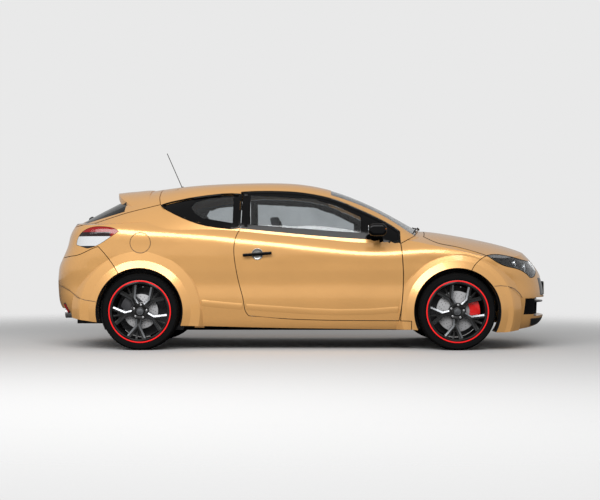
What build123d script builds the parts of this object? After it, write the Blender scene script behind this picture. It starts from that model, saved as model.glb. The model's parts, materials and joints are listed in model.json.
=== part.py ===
from build123d import *

import math
import os

# Three-door hot hatchback, built as separate panels, running gear and cabin pieces.
# Millimetres. +X is forward, +Y is the car's left, +Z is up.
# The origin is on the ground under the middle of the car's length and width.

# ---------------------------------------------------------------- driving dimensions
LENGTH = 4299.0
WHEELBASE = 2636.0
FRONT_OVERHANG = 861.0
ROOF_HEIGHT = 1435.0
FRONT_TRACK = 1590.0
REAR_TRACK = 1546.0
TYRE_RADIUS = 322.0

NOSE = LENGTH / 2
FRONT_AXLE = NOSE - FRONT_OVERHANG
REAR_AXLE = FRONT_AXLE - WHEELBASE
AXLE_HEIGHT = TYRE_RADIUS

ARCH_RADIUS = 362.0
SHUT_GAP = 6.0
FRAME_WALL = 45.0
LOWER_WALL = 100.0
WING_WALL = 40.0
BUMPER_WALL = 60.0
BONNET_WALL = 30.0
GLASS_INSET = 4.0
GLASS_THICKNESS = 5.0
PLATE_BOLT_Y = 150.0
PLATE_BOLT_RADIUS = 3.0

# Far enough out to pass the body's side, and a little past the middle of the car.
WIDE = 1100.0
PAST_MIDDLE = -10.0


def smooth_curve(stations):
    """A smooth function through (position, value) stations, straight beyond both ends."""
    xs = [s[0] for s in stations]
    ys = [s[1] for s in stations]
    last = len(xs) - 1
    slopes = [(ys[i + 1] - ys[i]) / (xs[i + 1] - xs[i]) for i in range(last)]
    tangents = [slopes[0]]
    for i in range(1, last):
        before, after = xs[i] - xs[i - 1], xs[i + 1] - xs[i]
        tangents.append((slopes[i - 1] * after + slopes[i] * before) / (before + after))
    tangents.append(slopes[-1])

    def value(x):
        if x <= xs[0]:
            return ys[0] + tangents[0] * (x - xs[0])
        if x >= xs[-1]:
            return ys[-1] + tangents[-1] * (x - xs[-1])
        i = max(k for k in range(last) if xs[k] <= x)
        span = xs[i + 1] - xs[i]
        t = (x - xs[i]) / span
        rise = t * t * (3 - 2 * t)
        start = t * (1 - t) ** 2 * span * tangents[i]
        finish = t * t * (t - 1) * span * tangents[i + 1]
        return ys[i] + rise * (ys[i + 1] - ys[i]) + start + finish

    return value


# ---------------------------------------------------------------- lines of the body
# Nose and tail along the centreline: X for each height.
nose_x = smooth_curve(
    [(150, 2040), (200, 2100), (260, 2140), (350, 2147), (480, 2147), (600, 2122),
     (700, 2062), (766, 2005), (860, 1900), (1000, 1730), (1150, 1560)]
)
tail_x = smooth_curve(
    [(150, -1900), (240, -1990), (300, -2075), (440, -2143), (560, -2147), (690, -2139),
     (774, -2103), (846, -2068), (971, -2030), (1043, -1995), (1090, -1955), (1150, -1900)]
)
# Waist crease: height along the flank. Above it the flank rolls inwards.
waist_z = smooth_curve(
    [(-2150, 930), (-1700, 960), (-1261, 941), (-556, 884), (233, 803), (700, 772),
     (1100, 800), (1400, 770), (2150, 640)]
)
# Half width of the flank for each height, below the waist crease.
flank_y = smooth_curve(
    [(150, 800), (200, 846), (260, 864), (340, 874), (420, 880), (520, 876), (640, 882),
     (760, 889), (900, 889), (1200, 889)]
)
# How much the flank draws in towards the ends of the car.
draw_in = smooth_curve([(-1600, 4), (-1000, 0), (0, 0), (800, 0), (1500, 14)])
NOSE_START = 1500.0
TAIL_START = -1600.0
NOSE_EXPONENT = 2.3
TAIL_EXPONENT = 2.8
ROLL_HEIGHT = 120.0
ROLL_INSET = 75.0
ROLL_SLOPE = 1.25

# Bonnet and deck: centreline height, and how far the surface drops at 800 mm out.
deck_z = smooth_curve(
    [(-2250, 1040), (-2000, 1075), (-1700, 1095), (-1300, 1120), (-900, 1118), (-514, 1060),
     (234, 985), (700, 975), (1000, 1018), (1100, 1010), (1290, 985), (1500, 947),
     (1700, 903), (1850, 860), (1950, 817), (2018, 768), (2120, 725), (2300, 650)]
)
deck_drop = smooth_curve(
    [(-2250, 45), (-1900, 45), (-1300, 50), (234, 50), (820, 85), (1100, 118),
     (1290, 125), (1500, 135), (1750, 120), (1950, 100), (2120, 90)]
)
# Roof, windscreen and rear window: centreline height, belt height and width, roundness.
roof_z = smooth_curve(
    [(-2150, 960), (-2050, 1030), (-1950, 1086), (-1848, 1146), (-1705, 1222),
     (-1524, 1310), (-1400, 1352), (-1200, 1386), (-900, 1417), (-600, 1431),
     (-400, ROOF_HEIGHT), (-100, 1431), (50, 1416), (156, 1396), (264, 1370), (371, 1334),
     (479, 1296), (586, 1251), (693, 1201), (801, 1147), (908, 1088), (1015, 1028),
     (1087, 990), (1300, 870)]
)
belt_z = smooth_curve(
    [(-2150, 880), (-2050, 930), (-1900, 985), (-1700, 1025), (-1500, 1055), (-1300, 1078),
     (-1000, 1080), (-740, 1040), (-514, 1011), (-216, 982), (234, 934), (820, 890),
     (1000, 868), (1300, 800)]
)
belt_y = smooth_curve(
    [(-2150, 560), (-2000, 640), (-1850, 700), (-1700, 738), (-1500, 775), (-1300, 800),
     (-1000, 816), (-500, 816), (0, 814), (500, 811), (820, 806), (1000, 795), (1300, 770)]
)
roof_roundness = smooth_curve(
    [(-2150, 2.6), (-1700, 3.0), (-1500, 3.3), (-1300, 3.8), (-1000, 4.7), (-500, 5.6),
     (0, 5.8), (400, 7.5), (760, 11), (1000, 12), (1300, 12)]
)
roof_crown = smooth_curve(
    [(-2150, 30), (-1500, 40), (-900, 32), (0, 30), (264, 38), (500, 60), (760, 95),
     (950, 125), (1100, 135), (1300, 135)]
)
# Spoiler over the rear window: how far its top and its underside stand off the roof surface.
spoiler_top = smooth_curve(
    [(-1720, 140), (-1640, 100), (-1548, 65), (-1448, 35), (-1340, 14), (-1280, 5), (-1236, 0),
     (-1200, -3)]
)
spoiler_under = smooth_curve(
    [(-1720, 130), (-1640, 84), (-1600, 34), (-1572, 2), (-1540, -22), (-1500, -28), (-1200, -28)]
)
SPOILER_SHARE = 0.8


def half_width(x, z):
    """Half width of the lower body at a station and height."""
    above = z - waist_z(x)
    inset = 0.0
    if above > ROLL_HEIGHT:
        inset = ROLL_INSET + ROLL_SLOPE * (above - ROLL_HEIGHT)
    elif above > 0:
        inset = ROLL_INSET * (above / ROLL_HEIGHT) ** 2
    return flank_y(z) - draw_in(x) - inset


def plan_points(z, inset):
    """The closed outline of the lower body at one height, seen from above."""
    nose_steps, tail_steps = 9, 8
    left = []
    for i in range(tail_steps):
        turn = math.radians(90 * i / tail_steps)
        reach = TAIL_START - tail_x(z) - inset
        width = half_width(TAIL_START, z) - inset
        left.append(
            (TAIL_START - reach * math.cos(turn) ** (2 / TAIL_EXPONENT),
             width * math.sin(turn) ** (2 / TAIL_EXPONENT))
        )
    for x in (-1600, -1300, -950, -600, -200, 200, 600, 950, 1250):
        left.append((x, half_width(x, z) - inset))
    for i in range(nose_steps + 1):
        turn = math.radians(90 * i / nose_steps)
        reach = nose_x(z) - inset - NOSE_START
        width = half_width(NOSE_START, z) - inset
        left.append(
            (NOSE_START + reach * math.sin(turn) ** (2 / NOSE_EXPONENT),
             width * abs(math.cos(turn)) ** (2 / NOSE_EXPONENT))
        )
    right = [(x, -y) for x, y in left[-2:0:-1]]
    return left + right


def flank_solid(inset):
    """The sides, nose and tail, as level outlines joined from bottom to top."""
    levels = (150, 200, 260, 340, 430, 520, 620, 700, 760, 820, 880, 940, 1000, 1060, 1130)
    wires = []
    for z in levels:
        points = [(x, y, z) for x, y in plan_points(z, inset)]
        parameters = [i / len(points) for i in range(len(points) + 1)]
        wires.append(Wire([Edge.make_spline(points, periodic=True, parameters=parameters)]))
    return Solid.make_loft(wires)


def crowned_block(stations, section, base):
    """A block with a curved top: section(x) gives its (y, z) points at a station."""
    middle = section(0.0)
    run = [0.0]
    for (y0, z0), (y1, z1) in zip(middle, middle[1:]):
        run.append(run[-1] + math.hypot(y1 - y0, z1 - z0))
    parameters = [r / run[-1] for r in run]
    wires = []
    for x in stations:
        points = [(x, y, z) for y, z in section(x)]
        first, last = points[0], points[-1]
        wires.append(
            Wire([
                Edge.make_spline(points, parameters=parameters),
                Edge.make_line(last, (x, last[1], base)),
                Edge.make_line((x, last[1], base), (x, first[1], base)),
                Edge.make_line((x, first[1], base), first),
            ])
        )
    return Solid.make_loft(wires)


def deck_solid(inset):
    """Everything below the bonnet and deck surface."""
    widths = [160.0 * i for i in range(-6, 7)]

    def section(x):
        return [(y, deck_z(x) - inset - deck_drop(x) * (abs(y) / 800) ** 2.4) for y in widths]

    stations = (-2300, -2000, -1700, -1300, -900, -500, 0, 500, 900, 1100, 1290, 1450,
                1600, 1750, 1850, 1940, 2018, 2100, 2250)
    return crowned_block(stations, section, 100.0)


def roof_tail_limit(inset):
    """A plan outline that stops the upper body short of the tail's surface."""
    reach, width = 352.0 - inset, 880.0 - inset
    tail = []
    for i in range(17):
        turn = math.radians(90 - 180 * i / 16)
        tail.append(
            (TAIL_START - reach * math.cos(turn) ** (2 / TAIL_EXPONENT),
             math.copysign(width * abs(math.sin(turn)) ** (2 / TAIL_EXPONENT), turn), 600)
        )
    tail[0], tail[-1] = (TAIL_START, width, 600), (TAIL_START, -width, 600)
    front = [(TAIL_START, -width, 600), (TAIL_START, -WIDE, 600), (1300, -WIDE, 600),
             (1300, WIDE, 600), (TAIL_START, WIDE, 600), (TAIL_START, width, 600)]
    edges = [Edge.make_spline(tail)]
    edges += [Edge.make_line(a, b) for a, b in zip(front, front[1:])]
    return Solid.extrude(Face(Wire(edges)), Vector(0, 0, 1100))


def roof_section(x, inset, lift=0.0):
    """The upper body's outline at a station, raised by lift in the middle, as (y, z) points."""
    outward = (0.17, 0.34, 0.5, 0.63, 0.73, 0.81, 0.88, 0.94, 1.0, 1.06)
    top, belt, half = roof_z(x) - inset, belt_z(x), belt_y(x) - inset
    crown = roof_crown(x)
    rise = top - belt - crown
    points = []
    for u in [-u for u in reversed(outward)] + [0.0] + list(outward):
        z = top - crown * u * u - rise * abs(u) ** roof_roundness(x)
        points.append((u * half, z + lift * max(0.0, 1 - (abs(u) / SPOILER_SHARE) ** 4)))
    return points


def roof_solid(inset):
    """The upper body: side windows, roof, windscreen and rear window in one surface."""
    stations = (-1990, -1900, -1800, -1680, -1530, -1400, -1200, -1000, -750, -500, -250, 0,
                150, 300, 450, 600, 750, 900, 1050, 1200)
    body = crowned_block(stations, lambda x: roof_section(x, inset), 700.0)
    return body & roof_tail_limit(inset)


def spoiler_half():
    """The left half of the spoiler, as a wedge that roots in the tailgate's upper end."""
    stations = (-1720, -1640, -1600, -1560, -1500, -1440, -1340, -1200)
    above = crowned_block(stations, lambda x: roof_section(x, 2, spoiler_top(x)), 700.0)
    below = crowned_block(stations, lambda x: roof_section(x, 3.4, spoiler_under(x)), 700.0)
    rear = [(-1640, PAST_MIDDLE), (-1640, 0), (-1635, 150), (-1616, 300), (-1575, 430),
            (-1522, 520), (-1480, 580), (-1430, 640)]
    edges = [Edge.make_spline([(x, y, 1000) for x, y in rear])]
    corners = [(x, y, 1000) for x, y in
               ((-1430, 640), (-1236, 640), (-1236, PAST_MIDDLE), (-1640, PAST_MIDDLE))]
    edges += [Edge.make_line(a, b) for a, b in zip(corners, corners[1:])]
    plan = Solid.extrude(Face(Wire(edges)), Vector(0, 0, 500))
    return ((above - below) & plan) & LEFT


def lower_volume(inset):
    """The lower body, with its surface moved inwards by inset."""
    return flank_solid(inset) & deck_solid(inset)


# ---------------------------------------------------------------- helpers
def side_line(points):
    """A smooth line through (x, z) points, as an edge on the side view."""
    return Edge.make_spline([(x, 0, z) for x, z in points])


def block(low, high):
    """A box between two corners."""
    size = [b - a for a, b in zip(low, high)]
    middle = [(a + b) / 2 for a, b in zip(low, high)]
    return Pos(*middle) * Box(*size)


def rod(start, end, radius):
    """A round bar between two points."""
    along = Vector(end) - Vector(start)
    return Solid.make_cylinder(radius, along.length, Plane(origin=start, z_dir=along))


def turned(points, at):
    """A ring about the axle: points are (radius, distance along +Y) from at."""
    face = Face(Wire.make_polygon([Vector(r, y, 0) for r, y in points]))
    return Pos(*at) * Solid.revolve(face, 360, Axis.Y)


def mirrored(shape):
    """The same piece on the other side of the car."""
    return shape.mirror(Plane.XZ)


def joined(pieces):
    """Several pieces fused into one."""
    first, *rest = pieces
    return first.fuse(*rest)


def write(name, shape):
    """One STEP file for one node."""
    solids = shape.solids()
    whole = solids[0] if len(solids) == 1 else Compound(solids)
    export_step(whole, f"parts/{name}.step", write_pcurves=False)


# ---------------------------------------------------------------- side-view lines
DOOR_REAR = [(-511, 1013), (-556, 907), (-563, 841), (-549, 695), (-516, 536), (-483, 404),
             (-467, 325), (-440, 290)]
DOOR_BOTTOM = [(-440, 290), (-86, 262), (311, 251), (804, 248)]
DOOR_FRONT = [(804, 248), (823, 364), (837, 520), (838, 651), (831, 762), (820, 889)]
BONNET_SIDE = [(985, 985), (1038, 948), (1141, 893), (1245, 871), (1416, 829), (1540, 787)]
LAMP_TOP = [(1540, 787), (1628, 798), (1751, 779), (1864, 752), (1933, 741)]
LAMP_BOTTOM = [(1933, 603), (1874, 648), (1812, 675), (1736, 691), (1659, 714), (1607, 742),
               (1540, 787)]
LAMP_END = [(1933, 741), (1984, 735), (2010, 700), (2014, 660), (1994, 622), (1933, 603)]
WING_FRONT = [(1540, 787), (1470, 746), (1427, 700), (1402, 657)]


def outline(parts, grow=0.0):
    """A closed side-view outline, moved outwards by grow (inwards when negative)."""
    edges = []
    for part in parts:
        if len(part) == 2:
            (x0, z0), (x1, z1) = part
            edges.append(Edge.make_line((x0, 0, z0), (x1, 0, z1)))
        else:
            edges.append(side_line(part))
    wire = Wire(edges)
    if grow:
        area = abs(Face(wire).area)
        moved = wire.offset_2d(grow, Kind.ARC)
        if (abs(Face(moved).area) > area) != (grow > 0):
            moved = wire.offset_2d(-grow, Kind.ARC)
        wire = Wire([plain_edge(edge) for edge in moved.edges()])
    return wire


def plain_edge(edge):
    """An edge moved by an offset, drawn again as a line, an arc or a plain spline."""
    if edge.geom_type in (GeomType.LINE, GeomType.CIRCLE):
        return edge
    return Edge.make_spline([edge.position_at(i / 12) for i in range(13)])


def side_prism(parts, low, high, grow=0.0):
    """A side-view outline pushed across the car from y = low to y = high."""
    face = Face(outline(parts, grow))
    return Pos(0, low, 0) * Solid.extrude(face, Vector(0, high - low, 0))


def polygon(points):
    """Side-view points as straight runs, closed."""
    return [[a, b] for a, b in zip(points, points[1:] + points[:1])]


# ---------------------------------------------------------------- panel regions
UNDERSIDE = [(-2300, 345), (-1985, 340), (-1947, 282), (-1911, 264), (-1724, 237),
             (-1500, 225), (-970, 205), (-729, 198), (-219, 185), (682, 172), (914, 172),
             (1100, 160), (1685, 150), (1944, 178), (2038, 196), (2300, 230)]
DOOR_LOWER = [DOOR_REAR, DOOR_BOTTOM, DOOR_FRONT,
              [(820, 889), (820, 960)], [(820, 960), (-511, 1060)], [(-511, 1060), (-511, 1013)]]
DOOR_FRAME = [[(820, 889), (820, 992)],
              [(820, 992), (760, 1035), (578, 1134), (414, 1210), (271, 1267), (135, 1301),
               (0, 1324), (-205, 1337), (-409, 1336), (-511, 1330)],
              [(-511, 1330), (-500, 1330)], [(-500, 1330), (-511, 1013)],
              [(-511, 1013), (-511, 1000)], [(-511, 1000), (820, 889)]]
DOOR_PANE = [[(802, 912), (802, 985)],
             [(802, 985), (749, 1021), (569, 1118), (406, 1193), (264, 1250), (129, 1284),
              (-3, 1307), (-205, 1320), (-405, 1319), (-470, 1316)],
             [(-470, 1316), (-470, 1010)],
             [(-470, 1010), (-201, 983), (334, 936), (802, 912)]]
QUARTER_PANE = [[(-535, 1304), (-535, 1028)],
                [(-535, 1028), (-602, 1023), (-803, 1050), (-937, 1090), (-1071, 1149),
                 (-1180, 1210)],
                [(-1180, 1210), (-949, 1266), (-682, 1303), (-535, 1304)]]
WING = [[(819, 245), (828, 364), (842, 520), (843, 651), (836, 762), (825, 889)],
        [(825, 889), (960, 960)], [(960, 960), (985, 985)],
        BONNET_SIDE, WING_FRONT, [(1402, 657), (1288, 600)], [(1288, 600), (1288, 150)],
        [(1288, 150), (908, 150)], [(908, 150), (908, 243)], [(908, 243), (819, 245)]]
BONNET = [BONNET_SIDE, LAMP_TOP, [(1933, 741), (2300, 733)], [(2300, 733), (2300, 1300)],
          [(2300, 1300), (985, 1300)], [(985, 1300), (985, 985)]]
HEADLAMP = [LAMP_TOP, LAMP_END, LAMP_BOTTOM]
FRONT_BUMPER = [LAMP_BOTTOM[::-1], [(1933, 603), (1933, 741)], [(1933, 741), (2300, 733)],
                [(2300, 733), (2300, 100)], [(2300, 100), (1288, 100)],
                [(1288, 100), (1288, 600)], [(1288, 600), (1402, 657)], WING_FRONT[::-1]]
TAIL_LAMP = [[(-1522, 987), (-1554, 1010), (-1636, 1028), (-1755, 1024), (-1850, 974),
              (-1891, 878)],
             [(-1891, 878), (-1791, 848)],
             [(-1791, 848), (-1709, 869), (-1591, 942), (-1522, 987)]]
REAR_BUMPER = [[(-1521, 637), (-1593, 745), (-1693, 862)],
               [(-1693, 862), (-1756, 840), (-1828, 808), (-1918, 786)],
               [(-1918, 786), (-2300, 740)], [(-2300, 740), (-2300, 200)],
               [(-2300, 200), (-1347, 200)], [(-1347, 200), (-1347, 560)],
               [(-1347, 560), (-1521, 637)]]
TAILGATE_TOP = [[(-1222, 1500), (-1222, 1288)], [(-1222, 1288), (-1205, 1223)],
                [(-1205, 1223), (-1332, 1192), (-1499, 1151), (-1705, 1086), (-1860, 1045)],
                [(-1860, 1045), (-2200, 1000)], [(-2200, 1000), (-2200, 1500)],
                [(-2200, 1500), (-1222, 1500)]]
SKIRT = [[(-880, 150), (-854, 348)], [(-854, 348), (-748, 319), (-642, 299), (-510, 280)],
         [(-510, 280), (-440, 281), (-86, 253), (311, 242), (804, 239)],
         [(804, 239), (900, 236)], [(900, 236), (900, 150)], [(900, 150), (-880, 150)]]
TAILGATE_HALF = 545.0
TAILGATE_FOOT = 748.0


def axle_cylinder(x, radius, low, high):
    """A cylinder across the car, on the line of an axle."""
    return rod((x, low, AXLE_HEIGHT), (x, high, AXLE_HEIGHT), radius)


def flare(x, crease):
    """The raised ring of bodywork around one left wheel arch: crease, flat band, bevelled lip."""
    ring = [(crease + 70, 800), (crease + 10, 868), (crease - 12, 888), (424, 895),
            (ARCH_RADIUS + 2, 921), (ARCH_RADIUS - 6, 921), (ARCH_RADIUS - 6, 800)]
    return turned(ring, (x, 0, AXLE_HEIGHT))


def pair(shape):
    """A left piece and its mirror image, as separate solids."""
    return Compound(shape.solids() + mirrored(shape).solids())


def biggest(shape):
    """The largest solid of a result, without slivers."""
    return max(shape.solids(), key=lambda s: s.volume)


def both_halves(left_half):
    """A left half and its mirror image, fused across the middle of the car."""
    return left_half.fuse(mirrored(left_half))


LEFT = block((-2400, 0, 0), (2400, WIDE, 1700))


def left_lower(inset):
    """The left half of the lower body, with its surface moved inwards by inset."""
    return lower_volume(inset) & LEFT


def side_panel(region, low, gap=SHUT_GAP / 2):
    """The prism of a panel and the prism of its hole, half a shut gap apart on each side."""
    return side_prism(region, low, WIDE, -gap), side_prism(region, low, WIDE, gap)


def screen_plan(margin):
    """Plan outline of the windscreen's left half, wider at its foot, as a tall prism."""
    points = [(250 - margin, PAST_MIDDLE), (250 - margin, 585 + margin),
              (700, 650 + margin), (930, 690 + margin), (1200, 700 + margin), (1200, PAST_MIDDLE)]
    face = Face(Wire.make_polygon([Vector(x, y, 900) for x, y in points]))
    return Solid.extrude(face, Vector(0, 0, 480))


def behind_bonnet(shift):
    """Everything behind the bonnet's rear edge, on the left: a gentle curve in plan."""
    curve = [(1078, -10), (1074, 200), (1062, 420), (1042, 600), (1020, 720), (1008, 840)]
    points = [(x + shift, y, 0) for x, y in curve]
    corners = [points[-1], (1008 + shift, WIDE, 0), (-2400, WIDE, 0), (-2400, -10, 0), points[0]]
    edges = [Edge.make_spline(points)]
    edges += [Edge.make_line(a, b) for a, b in zip(corners, corners[1:])]
    return Solid.extrude(Face(Wire(edges)), Vector(0, 0, 2000))


def outer_half():
    """The left half of the whole outer shape: lower body, upper body, flares and arches."""
    under = side_prism(polygon(UNDERSIDE + [(2300, 0), (-2300, 0)]), PAST_MIDDLE, WIDE)
    flares = flare(FRONT_AXLE, 480) + flare(REAR_AXLE, 512)
    flares = flares & block((-2160, 0, 150), (2160, 1000, 1000))
    outer = left_lower(0) + (roof_solid(0) & LEFT) + flares
    return outer.cut(under, axle_cylinder(FRONT_AXLE, ARCH_RADIUS, 485, WIDE),
                     axle_cylinder(REAR_AXLE, ARCH_RADIUS, 600, WIDE))


def cut_doors(skin, glass_layer, pieces):
    """Left and right doors with their glass; returns the hole that they leave."""
    shape = side_prism(DOOR_LOWER, 400, WIDE).fuse(side_prism(DOOR_FRAME, 500, WIDE))
    hole = side_prism(DOOR_LOWER, 400, WIDE, SHUT_GAP).fuse(
        side_prism(DOOR_FRAME, 494, WIDE, SHUT_GAP), block((-522, 494, 990), (-490, WIDE, 1334)))
    # The inner layer's rear edge stands further in, so that it clears the pillar as it swings.
    swing = [[(x + 8, z) for x, z in DOOR_REAR], [(-432, 290), (-700, 290)],
             [(-700, 290), (-700, 1013)], [(-700, 1013), (-503, 1013)]]
    swing_room = side_prism(swing, 400, WIDE) & left_lower(26)
    door = biggest((skin & shape).cut(side_prism(DOOR_PANE, 400, WIDE), swing_room))
    glass = biggest(glass_layer & side_prism(DOOR_PANE, 400, WIDE, -0.3))
    pieces["door_left"], pieces["door_right"] = door, mirrored(door)
    pieces["door_glass_left"], pieces["door_glass_right"] = glass, mirrored(glass)
    return hole


def cut_front(skin, lower_skin, lower, pieces):
    """Wings, bumper, grille, headlamps and bonnet; returns the holes that they leave."""
    wing_shape, wing_hole = side_panel(WING, 300)
    corner = block((700, 0, 860), (1040, 690, 1300))
    wing = biggest((lower_skin - left_lower(WING_WALL)) & (wing_shape - corner))
    pieces["front_wings"] = pair(wing)
    wing_hole = (wing_hole - corner) - left_lower(WING_WALL + 2)

    pieces["headlamps"] = pair(biggest(lower_skin & side_prism(HEADLAMP, 400, WIDE, -2.4)))
    lamp_hole = side_prism(HEADLAMP, 396, WIDE, 2)

    bumper_shape, bumper_hole = side_panel(FRONT_BUMPER, PAST_MIDDLE)
    mouth = block((1850, PAST_MIDDLE, 276), (2300, 640, 434))
    upper_mouth = block((1850, PAST_MIDDLE, 448), (2300, 400, 603))
    bumper = (lower_skin - left_lower(BUMPER_WALL)) & bumper_shape
    pieces["front_bumper"] = both_halves(biggest(bumper.cut(mouth, upper_mouth, lamp_hole)))
    bumper_hole = bumper_hole - left_lower(BUMPER_WALL + 2)

    fascia_room = block((1850, 0, 449.5), (2300, 398.5, 601.5))
    mesh_room = block((1850, 0, 276.5), (2300, 638.5, 433.5)) + block((1850, 0, 276.5), (2300, 398.5, 601.5))
    back = (left_lower(BUMPER_WALL + 2) - left_lower(BUMPER_WALL + 16)) & mesh_room
    panel = (left_lower(12) - left_lower(BUMPER_WALL + 10)) & fascia_room
    seat_block = block((2080, 0, 452), (2128, 262, 568))
    seat_room = block((2128, 0, 452), (2300, 262, 568))
    blade = (left_lower(10) - left_lower(BUMPER_WALL + 6)) & block((1850, 0, 392), (2300, 638.5, 404))
    bolt = rod((2060, PLATE_BOLT_Y, 510), (2200, PLATE_BOLT_Y, 510), PLATE_BOLT_RADIUS)
    grille = (back + panel + seat_block + blade).cut(seat_room, bolt)
    pieces["grille"] = both_halves(biggest(grille))

    bonnet_shape, bonnet_hole = side_panel(BONNET, PAST_MIDDLE)
    bonnet = (lower - left_lower(BONNET_WALL)) & bonnet_shape
    pieces["bonnet"] = both_halves(biggest(bonnet - behind_bonnet(0)))
    bonnet_hole = bonnet_hole - behind_bonnet(-SHUT_GAP)
    bar_room = block((1850, PAST_MIDDLE, 430), (2300, 400, 452))
    return [wing_hole, bumper_hole, mouth, upper_mouth, bar_room, lamp_hole, bonnet_hole]


def cut_tail(skin, lower_skin, glass_layer, pieces):
    """Tailgate with its glass, tail lamps and bumper; returns the holes that they leave."""
    window = block((-1930, PAST_MIDDLE, 1090), (-1500, 560, 1310))
    shape = side_prism(TAILGATE_TOP, PAST_MIDDLE, WIDE).fuse(
        block((-2400, PAST_MIDDLE, TAILGATE_FOOT), (-1751, TAILGATE_HALF, 1079)))
    hole = side_prism(TAILGATE_TOP, PAST_MIDDLE, WIDE, SHUT_GAP).fuse(
        block((-2400, PAST_MIDDLE, TAILGATE_FOOT - SHUT_GAP),
              (-1750, TAILGATE_HALF + SHUT_GAP, 1080)))
    tailgate = biggest(biggest(skin & shape) - window)
    spoiler = biggest(spoiler_half() - (roof_solid(GLASS_INSET - 1) & window))
    pieces["tailgate"] = both_halves(biggest(tailgate + spoiler))
    pieces["rear_glass"] = both_halves(biggest(glass_layer & window))
    pieces["tail_lamps"] = pair(biggest(lower_skin & side_prism(TAIL_LAMP, 560, WIDE, -1.5)))
    lamp_hole = side_prism(TAIL_LAMP, 556, WIDE, 1.5)
    bumper_shape, bumper_hole = side_panel(REAR_BUMPER, PAST_MIDDLE)
    recess = block((-2300, PAST_MIDDLE, 455), (-2128, 265, 571))
    bolt = rod((-2200, PLATE_BOLT_Y, 513), (-2060, PLATE_BOLT_Y, 513), PLATE_BOLT_RADIUS)
    bumper = (lower_skin - left_lower(BUMPER_WALL)) & bumper_shape
    pieces["rear_bumper"] = both_halves(biggest(bumper.cut(recess, bolt, hole)))
    return [hole, lamp_hole, bumper_hole - left_lower(BUMPER_WALL + 2)]


def build_body():
    """The panels of the outer body, cut from one pair of inner and outer surfaces."""
    pieces = {}
    lower = left_lower(0)
    hollow = left_lower(LOWER_WALL) + (roof_solid(FRAME_WALL) & LEFT)
    skin = biggest(outer_half() - hollow)
    lower_skin = biggest(skin & block((-2400, 0, 0), (2400, WIDE, 1061)))
    glass_layer = (roof_solid(GLASS_INSET) - roof_solid(GLASS_INSET + GLASS_THICKNESS)) & LEFT

    holes = [cut_doors(skin, glass_layer, pieces)]
    quarter = biggest(glass_layer & side_prism(QUARTER_PANE, 400, WIDE, -0.3))
    pieces["quarter_glasses"] = pair(quarter)
    holes.append(side_prism(QUARTER_PANE, 400, WIDE))
    holes += cut_front(skin, lower_skin, lower, pieces)
    holes += cut_tail(skin, lower_skin, glass_layer, pieces)

    skirt_shape = side_prism(SKIRT, 600, WIDE)
    skirt = (lower_skin - left_lower(BONNET_WALL)) & skirt_shape
    pieces["side_skirts"] = pair(biggest(skirt))
    holes.append(skirt_shape - left_lower(BONNET_WALL))

    screen = (glass_layer & screen_plan(0)) - deck_solid(-14)
    pieces["windscreen"] = both_halves(biggest(screen))
    holes.append(screen_plan(2) - deck_solid(-8))

    shell = skin
    for hole in holes:
        shell = shell - hole
    pads = [block(low, high) for low, high in JACK_PADS]
    shell = biggest(Compound(shell.solids()) + pads[0] + pads[1])
    pieces["body_shell"] = shell_with_flap(shell, lower, pieces)
    pieces["floor_pan"] = both_halves(biggest(build_structure()))
    return pieces


def shell_with_flap(shell, lower, pieces):
    """Both halves of the shell, with the round fuel flap let into its right flank."""
    x, z = FUEL_FLAP
    flap = (lower - left_lower(5)) & rod((x, 700, z), (x, WIDE, z), FLAP_RADIUS)
    pieces["fuel_flap"] = mirrored(biggest(flap))
    recess = rod((x, 700, z), (x, WIDE, z), FLAP_RADIUS + SHUT_GAP - 1) - left_lower(16)
    return shell.fuse(mirrored(shell - recess))


JACK_PADS = (((740, 725, 172), (820, 790, 205)), ((-900, 725, 185), (-820, 790, 215)))
FUEL_FLAP = (-1343, 893)
FLAP_RADIUS = 82.5


def build_structure():
    """Left half of the floor, bulkhead, rails, boot floor and wheelhouses, inside the shell."""
    floor = block((-1010, 0, 200), (980, WIDE, 228))
    riser = block((-1010, 0, 200), (-985, WIDE, 450))
    boot = block((-2060, 0, 420), (-985, WIDE, 450))
    bulkhead = block((955, 0, 200), (980, WIDE, 935))
    rail = block((975, 395, 400), (2075, 485, 500))
    cross = block((1900, 0, 400), (1960, 470, 500))
    front_house = axle_cylinder(FRONT_AXLE, ARCH_RADIUS + 12, 473, 845)
    front_house = front_house & block((900, 0, 480), (1700, WIDE, 800))
    rear_house = axle_cylinder(REAR_AXLE, ARCH_RADIUS + 12, 588, 820)
    rear_house = rear_house & block((-1800, 0, 420), (-900, WIDE, 800))
    structure = joined([floor, riser, boot, bulkhead, rail, cross, front_house, rear_house])
    structure = structure & left_lower(LOWER_WALL + 0.2)
    notches = [block((x0 - 1, y0 - 1, z0), (x1 + 1, y1, z1 + 1)) for (x0, y0, z0), (x1, y1, z1) in JACK_PADS]
    return structure.cut(*notches, axle_cylinder(FRONT_AXLE, ARCH_RADIUS, 485, WIDE),
                         axle_cylinder(REAR_AXLE, ARCH_RADIUS, 600, WIDE))


# ---------------------------------------------------------------- wheels and brakes
def tyre(x, y):
    """A tyre as a plain closed ring, wide at the sidewalls."""
    ring = [(242, -104), (275, -117), (305, -115), (TYRE_RADIUS, -98), (TYRE_RADIUS, 98),
            (305, 115), (275, 117), (242, 104)]
    return turned(ring, (x, y, AXLE_HEIGHT))


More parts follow.
